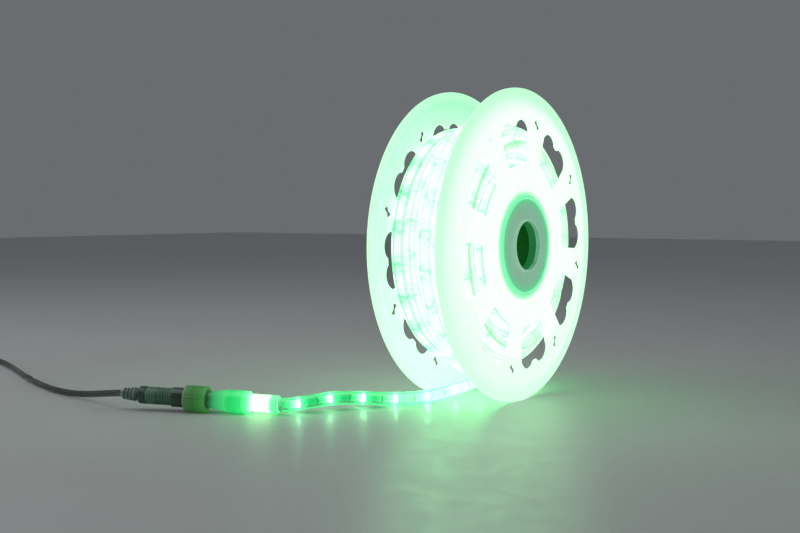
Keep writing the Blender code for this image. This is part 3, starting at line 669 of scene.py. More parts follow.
def clear_rope_jacket():
    """Clear soft jacket of the loose rope, tinted by the light in it."""
    material, tree, shader, tint = finish_material(
        "clear_rope_jacket", scale=90.0, low=0.03, high=0.09, bump=0.00006,
        Emission_Strength=GLOW, IOR=1.38, Transmission_Weight=1.0, Coat_Weight=0.3,
        Coat_Roughness=0.04)
    marks = placed(tree, lights_along_rope, {"Offset": 0.0})
    near = ramp(tree, marks["Near"], [(0.0, lit(130, 240, 176, 1.6)),
                                      (0.10, lit(60, 200, 120, 1.4)),
                                      (0.26, lit(10, 120, 62)), (0.5, lit(6, 92, 46))])
    # Painted light from the reel: a paler glow near the winding
    near = mixed(tree, nearer_reel(tree, marks), near, lit(150, 250, 200, 1.6))
    feed(shader, Emission_Color=near)
    colour = ramp(tree, tint, [(0.3, paint(176, 246, 204)), (0.7, paint(206, 252, 222))])
    feed(shader, Base_Color=colour)
    return material


def rope_core_skin():
    """Inner channel of the rope: bright by the light chips and green between them."""
    material, tree, shader, tint = finish_material(
        "rope_core_skin", scale=160.0, low=0.2, high=0.35, Emission_Strength=GLOW)
    marks = placed(tree, lights_along_rope)
    glow = ramp(tree, marks["Near"], [(0.0, lit(255, 255, 255, 3.0)),
                                      (0.09, lit(190, 255, 218, 1.8)),
                                      (0.17, lit(110, 240, 168)), (0.30, lit(50, 200, 122)),
                                      (0.5, lit(34, 176, 104))])
    blotch = ramp(tree, marks["Parts"], [(0.34, (0.7,) * 3), (0.46, (1.0,) * 3)])
    glow = mixed(tree, 1.0, glow, blotch, "MULTIPLY")
    # Painted light from the reel: a paler glow near the winding
    glow = mixed(tree, nearer_reel(tree, marks), glow, lit(226, 255, 240, 2.0))
    feed(shader, Emission_Color=glow)
    colour = ramp(tree, tint, [(0.3, paint(20, 90, 52)), (0.7, paint(40, 130, 78))])
    feed(shader, Base_Color=colour)
    return material


def flat_light(name, base, glow, strength, **fixed):
    """A lit plastic or metal with one glow colour that varies slightly over it."""
    material, tree, shader, tint = finish_material(
        name, scale=200.0, low=0.2, high=0.35, Emission_Strength=strength, **fixed)
    dark = tuple(0.8 * level for level in glow)
    colour = ramp(tree, tint, [(0.3, dark), (0.6, glow)])
    feed(shader, Emission_Color=colour)
    skin = ramp(tree, tint, [(0.3, tuple(0.8 * level for level in base)), (0.7, base)])
    feed(shader, Base_Color=skin)
    return material


def along_chain(name, base, glow, start, end, **fixed):
    """A translucent connector plastic whose colours change along its length; its glow is
    painted light from the rope.

    base and glow are stops of (share of the length, colour) between start and end.
    """
    material, tree, shader, tint = finish_material(name, **fixed)
    uv = add_node(tree, "ShaderNodeUVMap", uv_map="round_along").outputs[0]
    parts = add_node(tree, "ShaderNodeSeparateXYZ", {0: uv}).outputs
    share = scaled(tree, parts[1], start, end, 0.0, 1.0)
    share = maths(tree, "ADD", share, maths(tree, "MULTIPLY_ADD", tint, 0.06, -0.03))
    feed(shader, Base_Color=ramp(tree, share, base))
    if glow:
        shader.inputs["Emission Strength"].default_value = GLOW
        feed(shader, Emission_Color=ramp(tree, share, glow))
    return material


def plain_plastic(name, dark, light, **fixed):
    """An unlit plastic or rubber whose colour varies slightly."""
    material, tree, shader, tint = finish_material(name, **fixed)
    colour = ramp(tree, tint, [(0.35, dark), (0.65, light)])
    feed(shader, Base_Color=colour)
    return material


# Reel
def window_foot(angle):
    """Radius of a window's foot at an angle in degrees from its middle; round corners."""
    share = np.clip((angle - FOOT_STRAIGHT) / (WINDOW_HALF - FOOT_STRAIGHT), 0.0, 1.0)
    rise = WINDOW_CORNER - WINDOW_FOOT
    return WINDOW_FOOT + rise * (1 - np.sqrt(1 - share ** 2))


def window_top(angle):
    """Radius of a window's top: a tongue, then a round lobe that falls to the side."""
    off = np.radians(angle - LOBE_ANGLE)
    across = LOBE_CENTRE * np.sin(off)
    lobe = LOBE_CENTRE * np.cos(off) + np.sqrt(LOBE_RADIUS ** 2 - across ** 2)
    t = np.clip((angle - TONGUE_HALF) / (TONGUE_FOOT - TONGUE_HALF), 0.0, 1.0)
    return TONGUE + (lobe - TONGUE) * eased(t)


WINDOW_ANGLES = np.array([0, 0.6, TONGUE_HALF, 1.5, 1.9, 2.3, TONGUE_FOOT, 3.7, 4.8, 5.9,
                          LOBE_ANGLE, 8.1, 9.0, FOOT_STRAIGHT, 10.7, 11.5, 12.2, 12.8, 13.3,
                          13.7, WINDOW_HALF])
WINDOW_SIDE_TOP = float(window_top(WINDOW_HALF))
HALF_SECTOR = math.degrees(SECTOR) / 2
SPOKE_HALF = HALF_SECTOR - WINDOW_HALF
PATCH_HALF = 3.6
LEFT = -HALF_SECTOR + WINDOW_ANGLES
SPOKE_LEFT = np.linspace(-SPOKE_HALF, -PATCH_HALF, 5)
PATCH = np.linspace(-PATCH_HALF, PATCH_HALF, 9)
SPOKE_RIGHT = -SPOKE_LEFT[::-1]
RIGHT = -LEFT[::-1]
SPOKE = np.concatenate([SPOKE_LEFT, PATCH[1:-1], SPOKE_RIGHT])
COLUMNS = np.concatenate([LEFT, SPOKE[1:-1], RIGHT])


def at_angle(degrees, radius):
    """Plane points at a radius and an angle in degrees."""
    turn = np.radians(degrees)
    return np.stack([radius * np.cos(turn), radius * np.sin(turn)], -1)


def flat_grid(degrees, low, high, rows):
    """Plane points between two radii, which may change from column to column."""
    share = np.linspace(0.0, 1.0, rows)[:, None]
    return at_angle(degrees, low + (high - low) * share)


def twice_area(loop):
    """Twice the area inside a loop of points, negative where it runs clockwise."""
    ahead = np.roll(loop, -1, axis=0)
    return np.sum(loop[:, 0] * ahead[:, 1] - loop[:, 1] * ahead[:, 0])


def slot_patch(lean):
    """Rings of points from the bow-tie slot out to the patch round it, and the slot."""
    corners = np.array(SLOT_SHAPE + SLOT_SHAPE[:1])
    counts = (5, 5, 4, 5, 5, 4)
    slot = np.concatenate([np.linspace(a, b, n, endpoint=False)
                           for a, b, n in zip(corners, corners[1:], counts)])
    cos, sin = math.cos(lean), math.sin(lean)
    slot = slot @ np.array([[cos, sin], [-sin, cos]]) + (SLOT_CENTRE, 0.0)
    sides = np.linspace(WINDOW_SIDE_TOP, PATCH_TOP, 7)
    low = at_angle(PATCH, WINDOW_SIDE_TOP)
    high = at_angle(PATCH, PATCH_TOP)
    right = at_angle(PATCH_HALF, sides)
    left = right * (1.0, -1.0)
    around = np.concatenate([low[:-1], right[:-1], high[:0:-1], left[:0:-1]])
    if twice_area(slot) * twice_area(around) < 0:
        slot = slot[::-1]
    middle = np.array([SLOT_CENTRE, 0.0])
    shifts = [np.sum(unit(np.roll(slot, k, axis=0) - middle) * unit(around - middle))
              for k in range(len(slot))]
    slot = np.roll(slot, int(np.argmax(shifts)), axis=0)
    slot = np.concatenate([slot, slot[:1]])
    around = np.concatenate([around, around[:1]])
    share = np.array([0.0, 0.22, 0.55, 1.0])[:, None, None]
    return slot + (around - slot) * share, slot


def sector_plan(hub_radius, lean):
    """Plane grids of one sector of the web, and the borders of its holes."""
    left_top, right_top = window_top(WINDOW_ANGLES), window_top(WINDOW_ANGLES[::-1])
    left_foot, right_foot = window_foot(WINDOW_ANGLES), window_foot(WINDOW_ANGLES[::-1])
    foot = np.concatenate([left_foot, np.full(len(SPOKE) - 2, WINDOW_CORNER), right_foot])
    patch, slot = slot_patch(lean)
    spoke = flat_grid(SPOKE, WINDOW_CORNER, WINDOW_SIDE_TOP, 9)
    left = flat_grid(LEFT, left_top, PATCH_TOP, 7)
    right = flat_grid(RIGHT, right_top, PATCH_TOP, 7)
    grids = [
        flat_grid(COLUMNS, hub_radius, foot, 9), spoke, left, right, patch,
        flat_grid(SPOKE_LEFT, WINDOW_SIDE_TOP, PATCH_TOP, 7),
        flat_grid(SPOKE_RIGHT, WINDOW_SIDE_TOP, PATCH_TOP, 7),
        flat_grid(COLUMNS, PATCH_TOP, WEB_END, 11),
    ]
    borders = [at_angle(LEFT, left_foot), at_angle(RIGHT, right_foot), left[0], right[0],
               spoke[:, 0], spoke[:, -1], slot]
    return grids, borders


def on_flange(plane, height, side, clock):
    """Row-frame points of plane points at a height off the web's inner face.

    The web falls back to the rim by DISH along 3t^2 - 2t^3 of the radius.
    """
    out, along = plane[..., 0], plane[..., 1]
    t = np.clip((np.hypot(out, along) - PATCH_TOP) / (WEB_END - PATCH_TOP), 0.0, 1.0)
    height = height - DISH * eased(t)
    y = out * math.sin(clock) + along * math.cos(clock)
    z = AXLE_HEIGHT + out * math.cos(clock) - along * math.sin(clock)
    return np.stack([side * (INNER_FACE + height) + 0 * y, y, z], -1)


def with_uv(points):
    """A grid with an unused UV."""
    return points, np.zeros((*points.shape[:2], 2))


HUB_PROFILE = rounded([
    (HUB_RADIUS, WEB), (HUB_RADIUS, HUB_RING_TOP), (HUB_RING_INNER, HUB_RING_TOP),
    (HUB_RING_INNER - HUB_STEP, HUB_FACE), (HUB_STEP_RADIUS + HUB_STEP, HUB_FACE),
    (HUB_STEP_RADIUS, HUB_FACE - HUB_STEP), (COLLAR, HUB_FACE - HUB_STEP),
    (COLLAR, COLLAR_TOP), (BORE, COLLAR_TOP),
    (BORE, COLLAR_FOOT), (COLLAR, COLLAR_FOOT), (COLLAR, HUB_UNDERSIDE),
    (HUB_SEAT, HUB_UNDERSIDE), (HUB_SEAT, 0.0)], 0.0005)
RIM_PROFILE = rounded([
    (WEB_END, WEB), (RIM_INNER, WEB + RIM_PROUD), (FLANGE_RADIUS, WEB + RIM_PROUD),
    (FLANGE_RADIUS, -RIM_PROUD), (RIM_INNER, -RIM_PROUD), (WEB_END, 0.0)], 0.0009, 4)


def add_flange(side, name, node, first_clock, material):
    """One flange moulding: a web with eight windows and eight bow-tie slots, a rim band and
    a boss with its bore. Rings of the rim and boss are (radius, height) profiles turned
    about the axle in the web's own columns; the web is two plane grids and hole walls."""
    grids = []
    for sector in range(SECTORS):
        clock = first_clock + sector * SECTOR
        lean = math.radians(-45.0 if math.sin(clock) > 0 else 45.0)
        lean = -lean if math.cos(clock) < 0 else lean
        for height, hub_radius in ((WEB, HUB_RADIUS), (0.0, HUB_SEAT)):
            plans, borders = sector_plan(hub_radius, lean)
            grids += [with_uv(on_flange(plan, height, side, clock)) for plan in plans]
        for border in borders:
            wall = [on_flange(border, height, side, clock) for height in (0.0, WEB)]
            grids.append(with_uv(np.stack(wall)))
        turn = np.radians(COLUMNS)[None, :, None]
        for profile in (HUB_PROFILE, RIM_PROFILE):
            plane = profile[:, :1, None] * np.concatenate([np.cos(turn), np.sin(turn)], -1)
            height = np.broadcast_to(profile[:, 1:], plane.shape[:2])
            grids.append(with_uv(on_flange(plane, height, side, clock)))
    piece = surface(name, grids, material, sharp=50.0)
    bevel = piece.modifiers.new("edges", "BEVEL")
    bevel.width = EDGE_WIDTH
    bevel.segments = 2
    bevel.limit_method = "ANGLE"
    bevel.angle_limit = math.radians(EDGE_ANGLE)
    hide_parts(node)


def add_core_tube(material):
    """The tube that the rope is wound on, with rounded ends inside the two hubs."""
    half = INNER_FACE + HUB_UNDERSIDE - 0.0003
    profile = rounded([(-half, CORE_INNER), (-half, CORE_OUTER), (half, CORE_OUTER),
                       (half, CORE_INNER), (-half, CORE_INNER)], 0.0008)
    profile = np.concatenate([profile[1:-1], profile[1:2]])
    start = np.array([0.0, 0.0, AXLE_HEIGHT])
    piece = surface("winding_tube", [turned(profile, start, np.array([1.0, 0.0, 0.0]), 96)],
                    material)
    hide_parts("reel_core_tube")


# Rope
def winding_path():
    """The rope's line through its thirty nested turns and one lap over them to the loose end.

    Turn k keeps one place (x, radius) for most of its way and crosses to the next turn's
    place in its last part, along 3t^2 - 2t^3. The lap leaves the far flange low at the back,
    climbs over the turns beside it and lands in a hollow near the middle.
    """
    layer = np.repeat(np.arange(LAYERS), TURNS)
    turn = np.tile(np.arange(TURNS), LAYERS)
    odd = layer % 2 == 1
    place = np.where(odd, TURNS - 1 - turn, turn) - (TURNS - 1) / 2
    x = place * TURN_PITCH + np.where(odd, -TURN_PITCH / 4, TURN_PITCH / 4)
    radius = FIRST_LAYER + layer * LAYER_PITCH
    x = np.append(x, [x[-1], x[-1]])
    radius = np.append(radius, [radius[-1], radius[-1]])
    tail = np.array(TAIL_ROUTE[0])
    end_clock = math.atan2(tail[1], tail[2] - AXLE_HEIGHT)
    last = LAYERS * TURNS
    end = last + ((end_clock - START_CLOCK) / math.tau) % 1.0 + 1.0
    leave = last + (LAP_LEAVES - START_CLOCK) / math.tau
    land = last + (LAP_LANDS - START_CLOCK) / math.tau
    t = np.linspace(0.0, end, round(end * STEPS_A_TURN) + 1)
    k = np.minimum(t.astype(int), last)
    share = eased(np.clip((t - k - 1 + CROSSING) / CROSSING, 0.0, 1.0))
    at_x = x[k] + (x[k + 1] - x[k]) * share
    at_radius = radius[k] + (radius[k + 1] - radius[k]) * share
    lap = np.clip((t - leave) / (land - leave), 0.0, 1.0)
    climb = np.clip(lap * LAP_FIFTHS, 0.0, 1.0)
    settle = np.clip(lap * LAP_FIFTHS - LAP_FIFTHS + 1, 0.0, 1.0)
    tail_radius = math.hypot(tail[1], tail[2] - AXLE_HEIGHT)
    over = tail_radius - radius[-1] - ROPE
    at_x = at_x + (tail[0] - x[-1]) * eased(lap)
    at_radius = at_radius + ROPE * eased(climb) + over * eased(settle)
    clock = START_CLOCK + t * math.tau
    outward = np.stack([0 * clock, np.sin(clock), np.cos(clock)], -1)
    path = at_radius[:, None] * outward + (0.0, 0.0, AXLE_HEIGHT)
    path[:, 0] = at_x
    return path, outward


def add_wound_rope(material):
    """The whole wound length as one round rope."""
    path, outward = winding_path()
    grid = swept(path, circle(ROPE / 2 - ROPE_CLEARANCE, 14), outward)
    piece = surface("wound_rope", [grid], material, sharp=70.0)
    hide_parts("rope_coil")


def add_loose_rope():
    """The loose end: clear jacket, inner channel, two wires, light chips and the small
    parts between them."""
    run_in = CHAIN_START - CHAIN * TAIL_RUN_IN
    path = smooth_route([*TAIL_ROUTE, run_in], ROPE_STEP)
    path = np.concatenate([path, evenly(np.stack([run_in, CHAIN_START]), ROPE_STEP)[1:]])
    length = path_lengths(path)[-1]
    jacket_skin = clear_rope_jacket()
    jacket = surface("loose_rope", [swept(path, circle(ROPE / 2, 32))], jacket_skin,
                     sharp=60.0)
    offset = (length - LIGHT_FROM_END) % LIGHT_PITCH
    core_skin = rope_core_skin()
    for skin in (jacket_skin, core_skin):
        for node in skin.node_tree.nodes:
            if node.type == "GROUP" and node.node_tree == lights_along_rope:
                node.inputs["Offset"].default_value = offset
    core_line = path[1:-1]
    core = surface("loose_rope_channel", [swept(core_line, circle(CHANNEL, 20))], core_skin)
    copper = flat_light("lit_wire", paint(120, 160, 120), lit(70, 226, 136), GLOW,
                        Metallic=0.6)
    wires = surface("loose_rope_wires",
                    [swept(core_line, circle(WIRE_RADIUS, 8, over)) for over in
                     (WIRE_PLACE, -WIRE_PLACE)], copper)
    at = np.arange(offset, length - LAST_CHIP_MARGIN, LIGHT_PITCH)
    places = points_at(path, at)
    ahead = points_at(path, at + 0.001)
    headings = unit(ahead - places)
    chip_skin = flat_light("light_chip", paint(200, 255, 220), (0.55, 1.0, 0.72), 16.0)
    chips = surface("loose_rope_chips",
                    capsules(places, headings, CHIP_LENGTH, CHIP_RADIUS), chip_skin)
    part_skin = flat_light("chip_part", paint(24, 104, 62), lit(14, 116, 62), GLOW)
    halfway = points_at(path, at + LIGHT_PITCH * PART_AFTER_CHIP)
    inside = at + LIGHT_PITCH * 0.5 < length - LAST_CHIP_MARGIN
    parts = surface("loose_rope_parts",
                    capsules(halfway[inside], headings[inside], PART_LENGTH, PART_RADIUS),
                    part_skin)
    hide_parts("rope_tail")


# Connectors, by their distance along the chain
def chain_piece(name, profile, material, node, steps=64, swell=None,
                body="rope_light", radius=0.0003):
    """One connector piece turned about the chain's line from (distance, radius)."""
    profile = rounded(profile, radius) if radius else np.array(profile)
    grid = turned(profile, CHAIN_START, CHAIN, steps, swell)
    piece = surface(name, [grid], material, body)
    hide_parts(node)
    return piece


def dense(profile, spacing):
    """The profile with points added along each side, at most that far apart."""
    profile = np.array(profile, float)
    steps = [np.linspace(a, b, max(1, math.ceil(np.linalg.norm(b - a) / spacing)),
                         endpoint=False) for a, b in zip(profile, profile[1:])]
    return np.concatenate([*steps, profile[-1:]])


def within(distance, start, end, edge):
    """1 between start and end, falling to 0 over the edge on either side inside them."""
    return np.clip((distance - start) / edge, 0, 1) * np.clip((end - distance) / edge, 0, 1)


def wave(distance, pitch):
    """A wave from 0 to 1 that repeats at the pitch."""
    return 0.5 + 0.5 * np.cos(distance * math.tau / pitch)


def add_sleeve():
    """The clear end sleeve over the rope: round shoulders, a slight waist at each end."""
    # The glow stops are painted light from the rope, white-hot along the middle of the sleeve
    material = along_chain(
        "sleeve_plastic",
        [(0.0, paint(150, 240, 190)), (1.0, paint(210, 250, 226))],
        [(0.0, lit(120, 244, 176, 1.6)), (0.05, lit(60, 214, 128, 1.4)),
         (0.24, lit(96, 240, 160, 1.8)), (0.36, lit(240, 255, 248, 2.8)),
         (0.84, lit(255, 255, 255, 3.0)), (1.0, lit(200, 255, 224, 2.0))],
        0.0, 0.0267, scale=120.0, low=0.12, high=0.25, Coat_Weight=0.4)
    profile = [(0.0003, 0.0), (0.0003, 0.0074), (0.0012, 0.0081), (0.0085, 0.00825),
               (0.0180, 0.0080), (0.0240, 0.0083), (0.0267, 0.0078), (0.0267, 0.0)]
    return chain_piece("end_sleeve", profile, material, "rope_end_sleeve")


def add_rope_connector():
    """Green connector body, its ringed taper, the neck and the threaded spigot."""
    # The glow stops are painted light from the rope, bright by the sleeve and dark at the
    # spigot
    material = along_chain(
        "connector_plastic",
        [(0.0, paint(120, 230, 160)), (0.35, paint(20, 190, 80)), (0.62, paint(30, 130, 66)),
         (0.75, paint(60, 112, 66)), (1.0, paint(70, 104, 66))],
        [(0.0, lit(170, 255, 206, 1.4)), (0.06, lit(96, 240, 150, 1.4)),
         (0.14, lit(24, 206, 104)), (0.34, lit(20, 184, 88)),
         (0.42, lit(60, 190, 112)), (0.62, lit(44, 150, 88)), (0.72, lit(10, 50, 24)),
         (1.0, lit(4, 22, 10))],
        0.0270, 0.0839, scale=90.0, low=0.16, high=0.3, Coat_Weight=0.3)
    body = rounded([(0.0270, 0.0), (0.0270, 0.0083), (0.0290, 0.0103), (0.0388, 0.0107),
                    (0.0505, 0.0103), (0.0506, 0.0098), (0.0514, 0.0098), (0.0515, 0.0102),
                    (0.0641, 0.0087), (0.0641, 0.0079), (0.0699, 0.0079),
                    (0.0699, 0.0096), (0.0839, 0.0096), (0.0839, 0.0)], 0.0003)

    def rings(distance, _):
        taper = within(distance, 0.0518, 0.0636, 0.0006)
        return -TAPER_RING_DEPTH * taper * wave(distance, TAPER_RING_PITCH)

    return chain_piece("rope_plug_body", dense(body, 0.00025), material,
                       "rope_connector", 72, rings, radius=0.0)


def add_nut():
    """The coupling nut: fine rings all round, crossed by raised beads in lengthwise rows."""
    # The glow stops are painted light from the rope, a dim green fading along the nut
    material = along_chain(
        "nut_plastic",
        [(0.0, paint(84, 136, 80)), (0.25, paint(70, 126, 64)), (0.6, paint(66, 114, 60)),
         (0.85, paint(104, 146, 98)), (1.0, paint(130, 166, 122))],
        [(0.0, lit(36, 104, 40)), (0.5, lit(24, 78, 26)), (1.0, lit(22, 50, 24))],
        0.0699, 0.0917, scale=140.0, low=0.2, high=0.36, Coat_Weight=0.2)
    outside = dense([(0.0699, 0.0116), (0.0702, 0.01205), (0.0708, 0.01225),
                     (0.0908, 0.01225), (0.0915, 0.0119), (0.0917, 0.0114)], 0.0002)
    inside = [(0.0917, 0.0076), (0.0871, 0.0076), (0.0871, 0.0099), (0.0699, 0.0099),
              (0.0699, 0.0116)]
    profile = np.concatenate([outside, inside])

    def ribs(distance, turn):
        face = within(distance, 0.0712, 0.0903, 0.0005)
        ring = wave(distance, RING_PITCH)
        row = np.clip(np.cos(turn * NUT_ROWS) * 3 - 1.6, 0, 1)
        outer = np.zeros((len(profile), 1))
        outer[:len(outside)] = 1.0
        depth = NUT_RING_DEPTH * (1 - 0.75 * row) * ring + NUT_ROW_DEPTH * (1 - row)
        return -depth * outer * face

    return chain_piece("screw_nut", profile, material, "coupling_nut", 176, ribs,
                       body="nut", radius=0.0)


def add_lead_connector():
    """Smoky clear connector on the lead: dark collar, ringed body and its pocket."""
    material = along_chain(
        "lead_connector_plastic",
        [(0.0, paint(24, 44, 34)), (0.22, paint(30, 54, 42)), (0.40, paint(46, 78, 62)),
         (0.46, paint(70, 112, 92)), (0.62, paint(62, 104, 84)), (1.0, paint(84, 126, 108))],
        None, 0.0842, 0.1303, scale=90.0, low=0.14, high=0.3, Coat_Weight=0.4)
    profile = [(0.1303, 0.0), (0.1303, 0.0083), (0.1047, 0.0083), (0.1047, 0.0093),
               (0.0920, 0.0093), (0.0920, 0.0073), (0.0868, 0.0073), (0.0868, 0.0096),
               (0.0842, 0.0096), (0.0842, 0.0053), (0.1172, 0.0053), (0.1172, 0.0)]

    def rings(distance, _):
        near = within(distance, 0.1052, 0.1196, 0.0004)
        far = within(distance, 0.1212, 0.1300, 0.0004)
        outer = np.zeros((len(fine), 1))
        outer[:bend] = 1.0
        return -outer * wave(distance, RING_PITCH) * (0.00060 * near + 0.0004 * far)

    first = dense(rounded(profile[:5], 0.0003), 0.0002)
    bend = len(first)
    fine = np.concatenate([first, rounded(profile[4:], 0.0003)[1:]])
    return chain_piece("lead_socket_body", fine, material,
                       "lead_connector", 72, rings, radius=0.0)


def add_contact_block():
    """The dark insert in the lead connector's pocket."""
    material = plain_plastic("contact_plastic", paint(14, 20, 18), paint(30, 38, 34),
                             scale=200.0, low=0.4, high=0.6)
    profile = [(0.0842, 0.0), (0.0842, 0.0044), (0.0846, 0.0050), (0.1169, 0.0050),
               (0.1169, 0.0)]
    return chain_piece("contact_insert", profile, material, "contact_block",
                       48)


def add_cap():
    """The teal cable entry cap with its chamfer and two grip rings."""
    material = plain_plastic("cap_plastic", paint(22, 56, 54), paint(46, 84, 80), scale=120.0,
                             low=0.2, high=0.35, Coat_Weight=0.4)
    profile = [(0.1306, 0.0), (0.1306, 0.0084), (0.1322, 0.0084), (0.1324, 0.0080),
               (0.1330, 0.0080), (0.1332, 0.0084), (0.1369, 0.0084), (0.1399, 0.0054),
               (0.1399, 0.0)]
    return chain_piece("entry_cap", profile, material, "cable_entry_cap")


def add_relief():
    """The clear strain relief: four rounded rings on a core that thins to the lead."""
    material = plain_plastic("relief_plastic", paint(104, 128, 120), paint(150, 172, 162),
                             scale=120.0, low=0.10, high=0.22, IOR=1.45,
                             Transmission_Weight=0.45, Coat_Weight=0.5)
    profile = [(0.1402, 0.0)]
    for ring in range(4):
        foot = 0.1402 + ring * 0.0035
        top = 0.0066 - 0.0004 * ring
        profile += [(foot, 0.0050 - 0.0002 * ring), (foot + 0.0009, 0.0050 - 0.0002 * ring),
                    (foot + 0.0012, top), (foot + 0.0033, top)]
    profile += [(0.1542, 0.0046), (0.1542, 0.0)]
    return chain_piece("strain_relief_rings", profile, material,
                       "strain_relief", radius=0.0006)


# Power lead
def coil_path():
    """The coiled lead: three rings on the floor inwards, then two above them outwards.

    Ring k keeps one radius and height and crosses to the next one's in its last part.
    """
    rings = np.array(COIL_RINGS + COIL_RINGS[-1:])
    t = np.linspace(0.0, COIL_END_TURN, round(COIL_END_TURN * COIL_STEPS_A_TURN) + 1)
    k = t.astype(int)
    share = np.clip((t - k - 1 + COIL_CROSSING) / COIL_CROSSING, 0.0, 1.0)[:, None]
    place = rings[k] + (rings[k + 1] - rings[k]) * eased(share)
    angle = COIL_START + t * math.tau
    return np.stack([COIL_CENTRE[0] + place[:, 0] * np.cos(angle),
                     COIL_CENTRE[1] + place[:, 0] * np.sin(angle), place[:, 1]], -1)


def lead_path():
    """The whole lead on one line: straight out of the relief, along the floor, round the
    coil and to the plug."""
    out = CHAIN_START + CHAIN * LEAD_EXIT
    floor = smooth_route([out + CHAIN * LEAD_RUN_OUT, *LEAD_ROUTE[:-1]], 0.004)
    coil = coil_path()
    join = smooth_route([floor[-3], floor[-1], LEAD_ROUTE[-1], coil[6], coil[10]], 0.004)
    leave = smooth_route([coil[-6], coil[-1], PLUG_RUN[0], PLUG_RUN[1], PLUG_RUN[2]], 0.004)
    start = evenly(np.stack([out, out + CHAIN * LEAD_RUN_OUT]), 0.003)
    path = np.concatenate([start[:-1], floor[:-3], join[:-1], coil[10:-6], leave])
    return evenly(path, 0.0034)


def twin_section():
    """Two round cores side by side: |t| = sqrt(r^2 - (|w| - c)^2) over the width w."""
    turn = np.linspace(0.0, math.tau, 25)
    wide = (LEAD_CORE + LEAD_CORE_PLACE) * np.cos(turn)
    thin = np.sqrt(np.clip(LEAD_CORE ** 2 - (np.abs(wide) - LEAD_CORE_PLACE) ** 2, 0.0, None))
    return np.stack([thin * np.sign(np.sin(turn)) * (np.abs(np.sin(turn)) > 1e-6), wide], -1)


def add_lead():
    """The clear twin lead with its two dark cores."""
    path = lead_path()
    length = path_lengths(path)
    turn = math.pi * np.clip((length - TWIST_AT) / TWIST_OVER, 0.0, 1.0)
    turn = turn + 0.25 * np.sin(length * 9.0) * np.clip(length / 0.05, 0.0, 1.0) * np.clip(
        (0.42 - length) / 0.05, 0.0, 1.0)
    skin = plain_plastic("lead_skin", paint(178, 200, 192), paint(206, 224, 216),
                         scale=120.0, low=0.08, high=0.18, IOR=1.45,
                         Transmission_Weight=0.92)
    lead = surface("power_lead", [swept(path, twin_section(), turn=turn)], skin,
                   sharp=60.0)
    strand = plain_plastic("core_strands", paint(14, 24, 22), paint(44, 58, 52), scale=400.0,
                           low=0.3, high=0.5)
    cores = surface("lead_cores",
                    [swept(path[1:-1], circle(STRAND_RADIUS, 8, over), turn=turn[1:-1])
                     for over in (LEAD_CORE_PLACE, -LEAD_CORE_PLACE)],
                    strand)
    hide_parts("lead_cord", "lead_coil", "lead_cord_end")


def squared_circle(steps, power):
    """A closed loop between a circle and a square: cos and sin raised to a power below 1."""
    turn = np.linspace(0.0, math.tau, steps + 1)
    circle = np.stack([np.cos(turn), np.sin(turn)], -1)
    return np.sign(circle) * np.abs(circle) ** power


def add_tie():
    """The flat strap round one side of the coil."""
    inner = COIL_RINGS[2][0] - LEAD / 2 - TIE_GAP
    outer = inner + 3 * LEAD + 2 * TIE_GAP
    top = 0.0014 + LEAD + LEAD * math.sqrt(0.75)
    clock = TIE_CLOCK
    out = np.array([math.cos(clock), math.sin(clock), 0.0])
    middle = np.array([*COIL_CENTRE, 0.0])
    thick = TIE_THICKNESS
    loop = np.array([(inner, thick), (outer, thick), (outer, top), (inner, top)])
    centre = loop.mean(0)
    half = (loop[2] - loop[0]) / 2 + thick / 2
    flat = centre + squared_circle(48, 0.42) * half
    path = middle + flat[:, :1] * out + flat[:, 1:] * UP
    width = np.array([-math.sin(clock), math.cos(clock), 0.0])
    normal = unit(np.cross(np.roll(path[:-1], -1, axis=0) - np.roll(path[:-1], 1, axis=0),
                           width))
    normal = np.concatenate([normal, normal[:1]])
    corners = np.array([(-1, -1), (1, -1), (1, 1), (-1, 1), (-1, -1)])
    section = corners * (TIE_WIDTH / 2, thick / 2)
    points = (path[:, None] + section[None, :, :1] * width
              + section[None, :, 1:] * normal[:, None])
    rubber = plain_plastic("tie_strap", paint(16, 17, 17), paint(34, 35, 35), scale=400.0,
                           low=0.4, high=0.6)
    piece = surface("coil_tie", [with_uv(points)], rubber)
    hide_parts("lead_coil_tie")
    return piece


def block(centre, along, size, corner, grip=None):
    """A closed block with rounded edges: |a/A|^n + |b/B|^n = 1 rings along its length.

    size is (length, width, thickness); corner is the rounding of its ends."""
    length, width, thick = size
    across = unit(np.cross(along, UP))
    bend = np.linspace(0.0, math.pi / 2, 6)
    back = -length / 2 + corner * (1 - np.cos(bend))
    inset = corner * (1 - np.sin(bend))
    straight = np.linspace(back[-1], -back[-1], 24)[1:-1]
    at = np.concatenate([back[:1], back, straight, -back[::-1], -back[:1]])
    inset = np.concatenate([inset[:1], inset, 0 * straight, inset[::-1], inset[:1]])
    scale = np.ones(len(at))
    scale[0] = scale[-1] = 0.0
    a, b = squared_circle(64, 0.38).T
    squeeze = 0 * at if grip is None else grip(at)
    wide = (width / 2 - inset - squeeze)[:, None] * a * scale[:, None]
    tall = (thick / 2 - inset)[:, None] * b * scale[:, None]
    points = (np.array(centre) + at[:, None, None] * along + wide[..., None] * across
              + tall[..., None] * UP)
    return with_uv(points)


